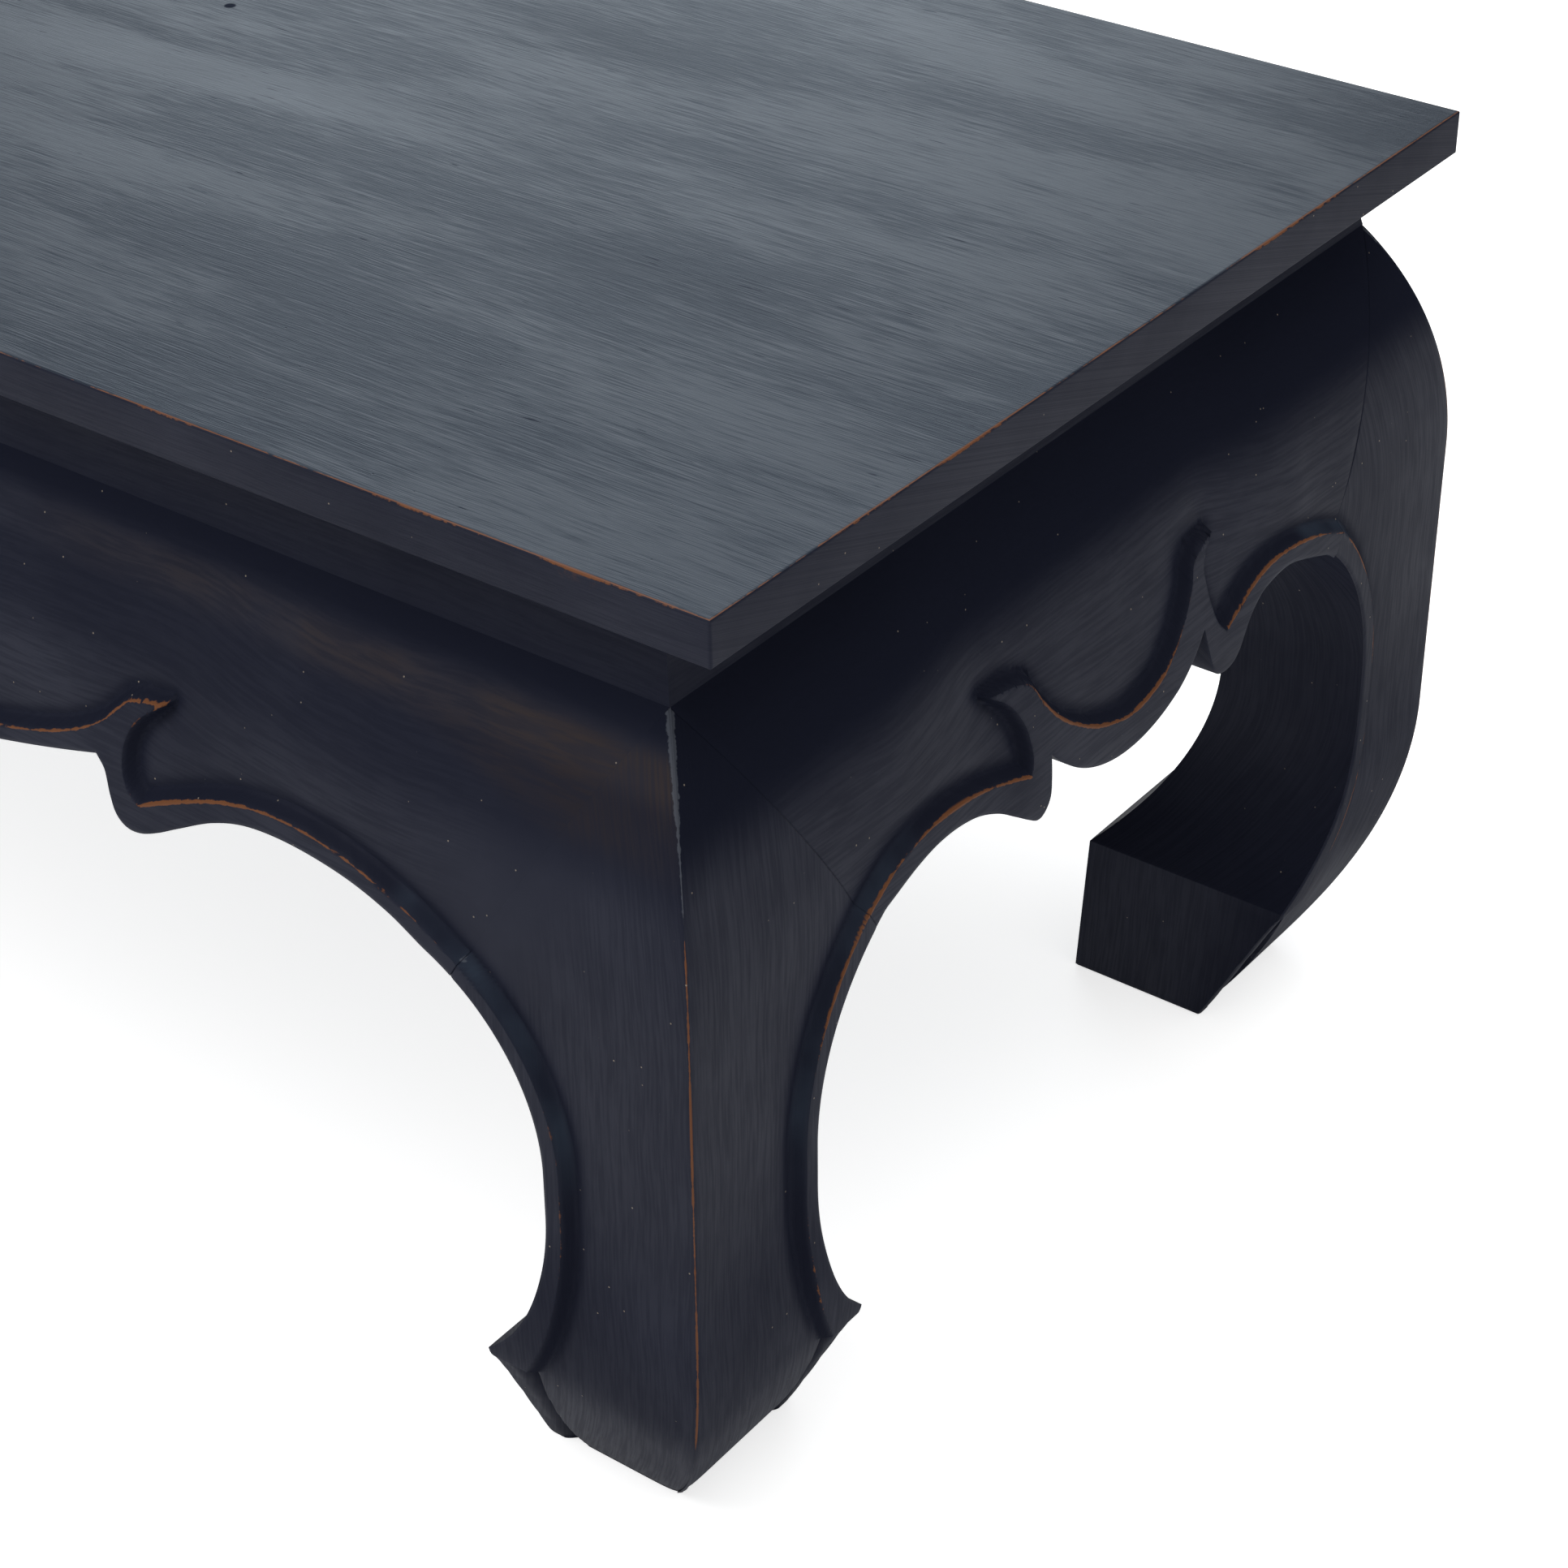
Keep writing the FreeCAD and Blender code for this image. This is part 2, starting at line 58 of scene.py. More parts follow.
# carved lines as (reach from the corner, height); each half runs from the leg to the middle.
# wear is the copper on leg, bead, horn and brow, hairline and crack are depths of the mitre,
# the span of height that is darkened is painted shade under the top, and the rest are strengths, among them a
# band of painted shade and the shoulder's painted highlight
side = {
    "half": 469.0, "out": 233.0, "bulge": 34.5, "footInset": 7.0, "middle": (469, 246),
    "flatFrom": 95, "flatTo": 235,
    "crown": [[(84, 256.8), (100, 265.6), (120, 271.8), (145, 274.6), (168, 273.4), (186, 268.2),
               (203, 259.6), (214, 253.7), (223, 250), (230, 249.6), (235.5, 253), (238.5, 259),
               (242, 269), (247, 274.5)]] * 2,
    "bead": [[(74.4, 260.7), (84.4, 267), (100.7, 274), (117, 279.2), (134, 282), (151, 282.8),
              (168, 281.2), (186, 276.9), (206, 269.4), (224, 261.6)]] * 2,
    "horn": [[(224, 261.6), (229.8, 266.5), (232.8, 274), (232.2, 284.4), (226.5, 294.5), (214, 304)]] * 2,
    "brow": [[(214, 304), (230.5, 300.4), (237.6, 295), (245, 288), (257, 281), (274, 274.6), (300, 268.4),
              (340, 262.2), (400, 257.4)]] * 2,
    "browMiddle": (469, 255.6), "hornTips": [214, 214], "hairline": 0.05, "crack": 0.35, "plainTip": 0.0,
    "wear": [0.45, 1.0, 0.55, 0.9], "rubbedAndHighlight": 1.0, "grime": (351, 362), "dusk": 0.5, "footShine": 0.4,
}
end = {
    "half": 233.0, "out": 469.0, "bulge": 32.0, "footInset": 12.0, "middle": (239.5, 241),
    "flatFrom": 88, "flatTo": 165,
    "crown": [[(75, 258.6), (95.5, 265.8), (113, 268), (132, 265.6), (147, 259.8), (158, 252.8),
               (167.5, 246.3), (173.5, 242.9), (178, 243.4), (181.3, 247.8), (183, 256), (184.5, 266)],
              [(75, 257), (93, 263.4), (108, 267), (124, 264.6), (132, 260.6), (138, 255.6), (142.5, 250),
               (146, 244.6), (150, 241.4), (156, 240.6), (162, 242.4), (166.5, 247), (169.4, 255),
               (171.5, 266)]],
    "bead": [[(62.8, 261.8), (78, 271), (90, 275.2), (107, 277.4), (128, 275.4), (144, 272),
              (158.7, 267.6), (170, 263.9)],
             [(62.8, 261.8), (80, 269), (96, 273), (114, 274.6), (130, 271.6), (145, 264.6), (156, 259.2)]],
    "horn": [[(170, 263.9), (172.6, 269), (172.6, 276), (170.6, 285), (164, 295.5), (153, 303.6)],
             [(156, 259.2), (161.2, 265), (164.4, 273.4), (166.3, 284), (165.4, 293), (157, 302.4)]],
    "brow": [[(153, 303.6), (172, 300), (179.6, 295.6), (184.6, 287.4), (193, 277.2), (206.4, 267.4),
              (221.4, 260.4)],
             [(157, 302.4), (171.2, 296.6), (176.6, 286.4), (184.7, 276.2), (193.6, 267.6), (205.8, 260.2)]],
    "browMiddle": (240, 256.6), "hornTips": [153, 157], "hairline": 0.3, "crack": 0.0, "plainTip": 1.0,
    "wear": [0.7, 0.95, 0.3, 0.95], "rubbedAndHighlight": 0.0, "grime": (306, 334), "dusk": 0.0, "footShine": 0.22,
}


def bow(z, start, run, across):
    # circle arc that leaves its start upright and has moved this far across after the run
    radius = (across ** 2 + run ** 2) / (2 * across)
    return radius - np.sqrt(np.maximum(radius ** 2 - (z - start) ** 2, 0))


def smooth(low, high, x):
    t = np.clip((x - low) / (high - low), 0, 1)
    return t * t * (3 - 2 * t)


def spline(points, count=12):
    # Catmull-Rom curve through the points
    p = np.asarray(points, float)
    p = np.vstack([2 * p[0] - p[1], p, 2 * p[-1] - p[-2]])
    a, b, c, d = p[:-3], p[1:-2], p[2:-1], p[3:]
    t = np.linspace(0, 1, count, endpoint=False)[:, None, None]
    curve = b + 0.5 * t * (c - a + t * (2 * a - 5 * b + 4 * c - d + t * (3 * b - a - 3 * c + d)))
    return np.vstack([curve.transpose(1, 0, 2).reshape(-1, 2), p[-2:-1]])


def arcThrough(first, middle, last, count=80):
    # points along the circle through three points
    (ax, az), (bx, bz), (cx, cz) = first, middle, last
    d = 2 * (ax * (bz - cz) + bx * (cz - az) + cx * (az - bz))
    a2, b2, c2 = ax * ax + az * az, bx * bx + bz * bz, cx * cx + cz * cz
    ux = (a2 * (bz - cz) + b2 * (cz - az) + c2 * (az - bz)) / d
    uz = (a2 * (cx - bx) + b2 * (ax - cx) + c2 * (bx - ax)) / d
    start, stop = math.atan2(az - uz, ax - ux), math.atan2(cz - uz, cx - ux)
    turn = (stop - start + math.pi) % (2 * math.pi) - math.pi
    angle = start + turn * np.linspace(0, 1, count)
    radius = math.hypot(ax - ux, az - uz)
    return np.stack([ux + radius * np.cos(angle), uz + radius * np.sin(angle)], 1)


def legLine(bottom, sole, toe, calf, top):
    # straight toe, then two arcs that meet the straight calf upright; reach given for each height
    zToe = np.linspace(bottom, toe[1], table["toePoints"])
    zFoot = np.linspace(toe[1], table["calfLow"], table["curvePoints"])
    zArch = np.linspace(table["calfHigh"], top[1], table["curvePoints"])
    foot = calf + bow(zFoot, table["calfLow"], table["calfLow"] - toe[1], toe[0] - calf)
    arch = calf + bow(zArch, table["calfHigh"], top[1] - table["calfHigh"], top[0] - calf)
    q = np.concatenate([np.linspace(sole, toe[0], table["toePoints"]), foot[1:], arch])
    return np.stack([q, np.concatenate([zToe, zFoot[1:], zArch])], 1)


def fullLine(run, halves, centre):
    # the two halves set end to end across the whole side, as (place along the side, height)
    near, far = [h.copy() for h in halves]
    near[:, 0] -= run["half"]
    far[:, 0] = run["half"] - far[:, 0]
    centre = centre.copy()
    centre[:, 0] -= run["half"]
    return np.vstack([near, centre[1:-1], far[::-1]])


def drawSide(run):
    crowns = run["crown"]
    toe = (table["toeReach"], table["toeTall"])
    legs = [legLine(0, table["toeSole"], toe, table["calfReach"], c[0]) for c in crowns]
    edges = [np.vstack([line[:-1], spline(c)]) for line, c in zip(legs, crowns)]
    span = 2 * run["half"]
    lobe = arcThrough(crowns[0][-1], run["middle"], (span - crowns[1][-1][0], crowns[1][-1][1]))
    run["edge"] = fullLine(run, edges, lobe)
    inner, worn = [], []
    beadReach = table["calfReach"] - table["beadLeg"]
    for b, h in zip(run["bead"], run["horn"]):
        onLeg = legLine(table["beadLow"], table["beadSole"], table["beadToe"], beadReach, b[0])
        parts = [onLeg[:-1], spline(b)[:-1], spline(h)]
        inner.append(np.vstack(parts))
        worn.append(np.repeat(run["wear"][:3], [len(part) for part in parts]))
    brow = spline(run["brow"][0] + [run["browMiddle"]] + [(span - q, z) for q, z in run["brow"][1][::-1]])
    run["border"] = fullLine(run, inner, brow)
    run["worn"] = np.concatenate([worn[0], np.full(len(brow) - 2, run["wear"][3]), worn[1][::-1]])
    leg = edges[0][:len(legs[0])]
    run["legReach"] = lambda z: np.interp(z, leg[:, 1], leg[:, 0])
    past = leg[:, 0] - mitreReach(leg[:, 1])
    k = int(np.argmax(past > 0))
    t = past[k - 1] / (past[k - 1] - past[k])
    run["mitreFoot"] = leg[k - 1] + t * (leg[k] - leg[k - 1])


def mitreReach(z):
    return table["mitreRun"] * (table["apronTop"] - z) / table["mitreDrop"]


def backDepth(z):
    # the apron's leaning back, measured inwards from the waist
    return table["apronThick"] - table["apronLean"] * (table["apronTop"] - z) / table["mitreDrop"]


def toLine(points, line, blockSize=6000):
    # signed distance to the border's line, positive on the border itself,
    # with the nearest place and segment of the line
    a, b = line[:-1], line[1:]
    ab = b - a
    length = np.maximum((ab ** 2).sum(1), 1e-9)
    ringA, ringB = line, np.roll(line, -1, 0)
    rise = np.where(ringA[:, 1] == ringB[:, 1], 1e-9, ringB[:, 1] - ringA[:, 1])
    distance, nearest, segment = [], [], []
    for block in np.array_split(points, max(1, len(points) // blockSize)):
        p = block[:, None, :]
        t = np.clip(((p - a) * ab).sum(2) / length, 0, 1)
        place = a + t[..., None] * ab
        gap = ((p - place) ** 2).sum(2)
        k = gap.argmin(1)
        rows = np.arange(len(block))
        crosses = (ringA[:, 1] > p[..., 1]) != (ringB[:, 1] > p[..., 1])
        beyond = p[..., 0] < ringA[:, 0] + (ringB[:, 0] - ringA[:, 0]) * (p[..., 1] - ringA[:, 1]) / rise
        inside = (crosses & beyond).sum(1) % 2 == 1
        distance.append(np.where(inside, 1, -1) * np.sqrt(gap[rows, k]))
        nearest.append(place[rows, k])
        segment.append(k)
    return np.concatenate(distance), np.concatenate(nearest), np.concatenate(segment)


def bulgeAt(run, z):
    # rounded shoulder, straight belly, drawn-in foot
    bulge, inset = run["bulge"], run["footInset"]
    shoulder = bulge - bow(z, table["bowTop"], table["shoulder"], bulge)
    foot = bulge - bow(z, table["footRise"], table["footRise"], bulge + inset)
    return np.where(z > table["bowTop"], shoulder, np.where(z < table["footRise"], foot, bulge))


def fieldAt(run, s, z):
    # the leg's full shoulder, easing to a flatter leaning board towards the middle of the apron
    full = bulgeAt(run, z)
    t = np.clip((table["apronTop"] - z) / table["flatFall"], 0, 1)
    flat = run["bulge"] * (1 - (1 - t) ** table["flatCurve"])
    share = table["flatShare"] * smooth(run["flatFrom"], run["flatTo"], run["half"] - np.abs(s))
    return full + np.where(z > table["flatLow"], share * (flat - full), 0)


# carved face: widths, and the spans of height or reach over which its marks come and go
carving = {
    "pull": 0.46, "ledgeSoft": 1.2, "tilt": (0, 10), "stripSlope": 0.25,
    "tipHigh": 303, "tipSoft": 90, "tipPlain": 900, "tipEase": 0.55,
    "hollowRise": (66, 112), "lineWide": 0.85, "slopeSharp": 1.6, "slopeSoft": 0.6,
    "slateReach": (100, 90), "slateRise": (150, 215), "slateMitre": 0.6, "slateMitreReach": (12, 0),
    "shadeBandRise": (298, 322), "shadeBandFall": (346, 336), "footDarker": 0.25, "footDarkerFall": (64, 8),
    "sunkSoft": 0.4, "sunkTilt": 0.75,
    "highlightBandLow": 333, "highlightBandDrop": 20, "highlightBandCorner": (110, 20), "highlightBandRise": (0, 14),
    "highlightBandFall": (359, 351), "highlightBandReach": (360, 60),
    "dull": 0.5, "dullFall": (200, 110), "shineFall": (80, 50),
    "gougeCrack": 0.35, "gougeReach": (4.0, 1.2), "hollowWide": 3.2, "hollowMarkRise": (60, 90),
    "edgeDeep": 0.7, "edgeWide": 0.9, "hairWide": 0.16, "hairFull": 0.3, "calmWide": 34,
    "borderSoft": 1, "hollowFrom": 0.5,
}


def carvedFace(run, s, z, step, loose):
    # height of the carved face over the waist plane; loose points near the border's line move onto it,
    # so that the line is a crisp arris. Border proud by its rise, a straight slope, then a soft hollow
    cut = carving
    flatPoints = np.stack([s.ravel(), z.ravel()], 1)
    d, near, segment = toLine(flatPoints, run["border"])
    pull = (np.abs(d) < cut["pull"] * step.ravel()) & loose.ravel()
    flatPoints[pull] = near[pull]
    d[pull] = 0
    s, z = flatPoints[:, 0].reshape(s.shape), flatPoints[:, 1].reshape(z.shape)
    d = d.reshape(s.shape)
    outside = np.maximum(-d, 0)
    onLeg = smooth(table["toeLedge"] - cut["ledgeSoft"], table["toeLedge"] + cut["ledgeSoft"], z)
    reach = run["half"] - np.abs(s)
    tip = np.where(s < 0, *run["hornTips"])
    toTip = (reach - tip) ** 2 + (z - cut["tipHigh"]) ** 2
    slope = table["beadSlope"] * (1 - cut["tipEase"] * np.exp(-toTip / cut["tipSoft"]))
    # under the toe's ledge the border turns into a chiselled strip,
    # sunk along the foot and flush at the outside
    tilt = smooth(*cut["tilt"], d)
    strip = tilt * np.interp(z, *table["toeStrip"]) - table["toeSunk"] * (1 - tilt)
    rise = table["beadRise"] * onLeg + strip * (1 - onLeg)
    steep = cut["stripSlope"]
    lift = rise * np.clip(1 - outside / (slope * (steep + (1 - steep) * onLeg)), 0, 1)
    pastSlope = np.maximum(outside - slope, 0)
    hollow = table["hollowDeep"] * smooth(*cut["hollowRise"], z) * np.exp(-pastSlope / table["hollowWide"])
    out = fieldAt(run, s, z) + lift - hollow * smooth(0, slope, outside)
    slopeGap = np.abs(d + slope / 2) / (slope / 2 + cut["slopeSoft"])
    slopeMark = np.clip(cut["slopeSharp"] - cut["slopeSharp"] * slopeGap, 0, 1) * onLeg
    worn = run["worn"][segment].reshape(s.shape)
    toMitre = np.abs(reach - mitreReach(z))
    line = np.exp(-(d / cut["lineWide"]) ** 2) * worn * onLeg
    onCorner = slopeMark * smooth(*cut["slateReach"], reach) * smooth(*cut["slateRise"], z)
    soft = cut["sunkSoft"]
    # painted shade under the top, in a band lower on the long sides and in the sunk strip under the toe's
    # ledge; it also darkens towards the bottom of the foot
    shadeAndGrimeParts = [
        smooth(*run["grime"], z),
        run["dusk"] * smooth(*cut["shadeBandRise"], z) * smooth(*cut["shadeBandFall"], z),
        cut["footDarker"] * smooth(*cut["footDarkerFall"], z),
        smooth(-soft, soft, d) * (1 - onLeg) * (1 - cut["sunkTilt"] * tilt)]
    # painted highlight: the brown band along the shoulder of the long sides, over rubbed lacquer
    overBand = z - cut["highlightBandLow"] + cut["highlightBandDrop"] * smooth(*cut["highlightBandCorner"], reach)
    band = run["rubbedAndHighlight"] * smooth(*cut["highlightBandRise"], overBand) * smooth(*cut["highlightBandFall"], z)
    marks = {
        "arris": line * (1 - run["plainTip"] * np.exp(-toTip / cut["tipPlain"])),
        "onBorder": smooth(-slope - cut["borderSoft"], -slope + cut["borderSoft"], d) * onLeg,
        "slope": slopeMark,
        "slate": onCorner + cut["slateMitre"] * slopeMark * smooth(*cut["slateMitreReach"], toMitre),
        "grime": np.maximum.reduce(shadeAndGrimeParts),
        "rubbedAndHighlight": band * smooth(*cut["highlightBandReach"], reach),
        "dull": (cut["dull"] * smooth(*cut["dullFall"], z)
                 - run["footShine"] * smooth(*cut["shineFall"], z)),
        "burnishAndHighlight": run["crack"] / cut["gougeCrack"] * slopeMark * smooth(*cut["gougeReach"], toMitre),
        "hollow": (np.exp(-(pastSlope / cut["hollowWide"]) ** 2) * smooth(cut["hollowFrom"], slope, outside)
                   * smooth(*cut["hollowMarkRise"], z)),
    }
    return s, z, out, marks


def openMitre(run, marks, hair, gap):
    # the mitre's hairline, deeper where it crosses the border, and the calm strip along it
    hair = hair * (run["hairline"] + run["crack"] * marks.pop("onBorder"))
    marks["mitre"] = hair / carving["hairFull"]
    marks["calm"] = run["rubbedAndHighlight"] * np.exp(-(gap / carving["calmWide"]) ** 2)
    return hair


def spacedOut(start, stop, stepAt, samples=6000):
    # places from start to stop whose spacing follows the step wanted at each one
    x = np.linspace(start, stop, samples)
    density = 1 / stepAt(x)
    count = np.concatenate([[0], np.cumsum((density[1:] + density[:-1]) / 2 * np.diff(x))])
    return np.interp(np.linspace(0, count[-1], int(math.ceil(count[-1])) + 1), count, x)


def ringFaces(rings, points):
    # quads between neighbouring closed rings, and one face to close each end
    i = np.arange(rings - 1)[:, None] * points
    j = np.arange(points)[None, :]
    k = (j + 1) % points
    quads = np.stack([i + j, i + k, i + points + k, i + points + j], 2).reshape(-1, 4).tolist()
    return quads + [list(range(points))[::-1], list(range((rings - 1) * points, rings * points))]


meshing = {"weld": 2e-6, "sliver": 1e-6, "sharpFrom": 28}


def makePiece(node, points, marks, uv, material):
    # a piece is named after the node it replaces, front_apron as frontApron
    first, *rest = node.split("_")
    name = first + "".join(word.title() for word in rest)
    mesh = bpy.data.meshes.new(name)
    mesh.from_pydata((points.reshape(-1, 3) / 1000).tolist(), [], ringFaces(*points.shape[:2]))
    corner = np.empty(len(mesh.loops), np.int32)
    mesh.loops.foreach_get("vertex_index", corner)
    layer = mesh.uv_layers.new(name="grainUv")
    layer.data.foreach_set("uv", (uv.reshape(-1, 2)[corner] / 1000).astype(np.float32).ravel())
    for key, value in marks.items():
        mark = mesh.attributes.new(key, "FLOAT", "POINT")
        mark.data.foreach_set("value", value.astype(np.float32).ravel())
    bm = bmesh.new()
    bm.from_mesh(mesh)
    bmesh.ops.remove_doubles(bm, verts=bm.verts, dist=meshing["weld"])
    bmesh.ops.dissolve_degenerate(bm, edges=bm.edges, dist=meshing["sliver"])
    bmesh.ops.recalc_face_normals(bm, faces=bm.faces)
    bm.to_mesh(mesh)
    bm.free()
    mesh.polygons.foreach_set("use_smooth", np.ones(len(mesh.polygons), bool))
    mesh.set_sharp_from_angle(angle=math.radians(meshing["sharpFrom"]))
    mesh.materials.append(material)
    piece = bpy.data.objects.new(name, mesh)
    scene.collection.objects.link(piece)
    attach(piece, "root")
    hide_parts(node)
    return piece


surfaceMarks = ("calm", "arris", "slope", "slate", "grime", "rubbedAndHighlight", "hollow", "mitre", "ridge", "burnishAndHighlight",
                "smear", "dull")
drawSide(side)
drawSide(end)
print("carved lines drawn,", len(side["border"]), "and", len(end["border"]), "points")

# finishes
lacquer = {
    # dark also covers painted shade, brown is the shoulder's painted highlight, steel the ridge's painted
    # highlight and the burnish
    "black": (0.013, 0.015, 0.0275), "grey": (0.0185, 0.0212, 0.037), "copper": (0.19, 0.074, 0.03),
    "brown": (0.036, 0.0265, 0.025), "steel": (0.095, 0.105, 0.128), "slate": (0.034, 0.046, 0.068),
    "dark": (0.0118, 0.0136, 0.024), "speck": (0.36, 0.31, 0.25),
    "topDark": (0.0135, 0.018, 0.028), "topPale": (0.021, 0.0272, 0.04),
    "wood": (0.2, 0.12, 0.065), "woodDark": (0.1, 0.055, 0.03), "sheen": (0.58, 0.7, 1.0, 1),
}


def newGroup(name, numbers, results):
    # every group reads a vector, some plain numbers too
    group = bpy.data.node_groups.new(name, "ShaderNodeTree")
    sockets = [("Vector", "INPUT", "Vector")] + [(label, "INPUT", "Float") for label in numbers]
    for label, way, kind in sockets + [(label, "OUTPUT", "Float") for label in results]:
        group.interface.new_socket(label, in_out=way, socket_type="NodeSocket" + kind)
    return group, group.nodes.new("NodeGroupInput").outputs, group.nodes.new("NodeGroupOutput").inputs


def addNode(tree, kind, inputs, output=0, **settings):
    # a node with its settings, each input linked to another node's output or given a plain value
    node = tree.nodes.new("ShaderNode" + kind)
    for label, value in settings.items():
        setattr(node, label, value)
    for label, value in inputs.items():
        if hasattr(value, "is_linked"):
            tree.links.new(value, node.inputs[label])
        else:
            node.inputs[label].default_value = value
    return node.outputs[output]


def mathMaker(operation):
    # one kind of sum, as a function of the tree and two values
    def make(tree, a, b, clamp=False):
        return addNode(tree, "Math", {0: a, 1: b}, operation=operation, use_clamp=clamp)
    return make


timesNode, plusNode, lessNode, moreNode, aboveNode = map(
    mathMaker, ("MULTIPLY", "ADD", "SUBTRACT", "MAXIMUM", "GREATER_THAN"))


def noiseNode(tree, vector, scale, detail, rough):
    inputs = {"Vector": vector, "Scale": scale, "Detail": detail, "Roughness": rough}
    return addNode(tree, "TexNoise", inputs, "Fac")


def stretchNode(tree, vector, scale):
    return addNode(tree, "Mapping", {"Vector": vector, "Scale": scale})


def spreadNode(tree, value, low, high, toLow=0.0, toHigh=1.0):
    span = {"Value": value, "From Min": low, "From Max": high, "To Min": toLow, "To Max": toHigh}
    return addNode(tree, "MapRange", span, interpolation_type="SMOOTHSTEP")


def mixNode(tree, share, a, b):
    a, b = ((*colour, 1) if isinstance(colour, tuple) else colour for colour in (a, b))
    return addNode(tree, "Mix", {0: share, 6: a, 7: b}, 2, data_type="RGBA")


def coverNode(tree, colour, mask, share, name):
    # a named colour laid over the others, in strength mask times share
    return mixNode(tree, timesNode(tree, mask, share), colour, lacquer[name])


# a noise is its scale, detail and roughness; a brush grain's scale runs along, across and through
brush = {
    "sway": ((7, 7, 7), 2, 0.55), "fine": ((38, 850, 200), 3, 0.6), "coarse": ((13, 280, 60), 3, 0.55),
    "patch": ((4.5, 9, 6), 5, 0.62), "nick": ((48, 430, 90), 2, 0.5), "dent": ((90, 140, 90), 2, 0.5),
    "bend": (0, 0.012, 0), "fineShare": 0.7, "dentShare": 0.3, "nickFrom": (0.70, 0.76),
}


def buildBrushGrain():
    # fine strokes drawn out along the first coordinate, with broad soft patches over them
    labels = ("Strokes", "Patches", "Nicks", "Relief")
    group, inputs, outputs = newGroup("brushGrain", [], labels)
    straight = inputs["Vector"]

    def drawn(name, vector):
        scale, detail, rough = brush[name]
        return noiseNode(group, stretchNode(group, vector, scale), 1.0, detail, rough)

    def blend(a, b, share):
        return plusNode(group, timesNode(group, a, share), timesNode(group, b, 1 - share))

    sway = drawn("sway", straight)
    bent = addNode(group, "VectorMath", {0: sway, 1: brush["bend"], 2: straight}, operation="MULTIPLY_ADD")
    strokes = blend(drawn("fine", bent), drawn("coarse", bent), brush["fineShare"])
    nicks = spreadNode(group, drawn("nick", bent), *brush["nickFrom"])
    relief = blend(drawn("dent", bent), strokes, brush["dentShare"])
    for label, value in zip(labels, (strokes, drawn("patch", bent), nicks, relief)):
        group.links.new(value, outputs[label])
    return group


wear = {
    "broadNoise": (17, 3, 0.55), "smallNoise": (320, 3, 0.6), "broad": 1.1, "small": 0.45, "less": 0.22,
    "line": 0.45, "level": 1.45, "soft": (0.0, 0.09), "lineFrom": (0.2, 0.55),
}


def buildEdgeWear():
    # a worn line keeps only where a coarse and a fine noise together are high
    group, inputs, outputs = newGroup("edgeWear", ["Line", "Keep"], ["Mask"])
    vector, line, keep = (inputs[label] for label in ("Vector", "Line", "Keep"))
    broad = noiseNode(group, vector, *wear["broadNoise"])
    small = noiseNode(group, vector, *wear["smallNoise"])
    chance = plusNode(group, timesNode(group, broad, wear["broad"]), timesNode(group, small, wear["small"]))
    chance = lessNode(group, chance, wear["less"])
    level = plusNode(group, timesNode(group, line, wear["line"]), chance)
    over = lessNode(group, level, lessNode(group, wear["level"], keep))
    mask = timesNode(group, spreadNode(group, over, *wear["soft"]), spreadNode(group, line, *wear["lineFrom"]))
    group.links.new(mask, outputs["Mask"])
    return group


speck = {"scale": 160, "size": (0.03, 0.075), "rare": 0.72}


def buildSpecks():
    # rare pale specks and pits
    group, inputs, outputs = newGroup("specks", [], ["Mask"])
    gap = addNode(group, "TexVoronoi", {"Vector": inputs["Vector"], "Scale": speck["scale"]}, "Distance")
    chosen = addNode(group, "SeparateColor", {0: gap.node.outputs["Color"]})
    near = spreadNode(group, gap, *speck["size"], 1.0, 0.0)
    rare = aboveNode(group, chosen, speck["rare"])
    group.links.new(timesNode(group, near, rare), outputs["Mask"])
    return group


brushGrain = buildBrushGrain()
edgeWear = buildEdgeWear()
specks = buildSpecks()


def groupNode(tree, group, **links):
    return addNode(tree, "Group", links, node_tree=group).node.outputs


def newMaterial(name, fixed):
    material = bpy.data.materials.new(name)
    material.use_nodes = True
    tree = material.node_tree
    shader = next(n for n in tree.nodes if n.type == "BSDF_PRINCIPLED")
    for label, value in fixed.items():
        shader.inputs[label].default_value = value
    return material, tree, shader


def plugIn(tree, shader, links):
    for label, value in links.items():
        tree.links.new(value, shader.inputs[label])


def markNode(tree, name):
    return addNode(tree, "Attribute", {}, "Fac", attribute_name=name)


def grainVector(tree):
    return addNode(tree, "UVMap", {}, "UV", uv_map="grainUv")


def wornNode(tree, place, mark, keep):
    return groupNode(tree, edgeWear, Vector=place, Line=markNode(tree, mark), Keep=keep)["Mask"]


def bumpNode(tree, height, strength, distance):
    return addNode(tree, "Bump", {"Height": height, "Strength": strength, "Distance": distance})


# spans run from low to high; where there are four numbers the last two are what they turn into
body = {
    "fixed": {"Specular IOR Level": 0.0, "Specular Tint": lacquer["sheen"],
              "Coat IOR": 1.3, "Coat Roughness": 0.48},
    "patchNoise": (8, 5, 0.6), "patches": (0.3, 0.72), "strokes": (0.42, 0.60, 0.0, 0.45),
    "highlightBandNoise": (12, 4, 0.6), "rubbedAndHighlight": (0.32, 0.62, 0.15, 0.9), "highlightBandStrokes": (0.40, 0.58, 1.0, 0.45),
    "hollow": 0.7, "slope": 0.85, "deep": 0.92, "slateNoise": (24, 3, 0.5), "slate": (0.30, 0.66, 0.1, 0.75),
    "burnishKeep": 0.66, "ridgeKeep": 0.75, "arrisKeep": 0.60,
    "burnishAndHighlight": 0.7, "copper": 0.85, "mitre": 0.5, "dots": 0.7,
    "rough": (0.25, 0.8, 0.44, 0.56), "wornRough": 0.15, "polish": (0.3, 0.7, 0.36, 0.52),
    "polishStrokes": (0.40, 0.60, 0.17, -0.17), "wornDepth": 0.4, "bump": (0.5, 0.0004),
}


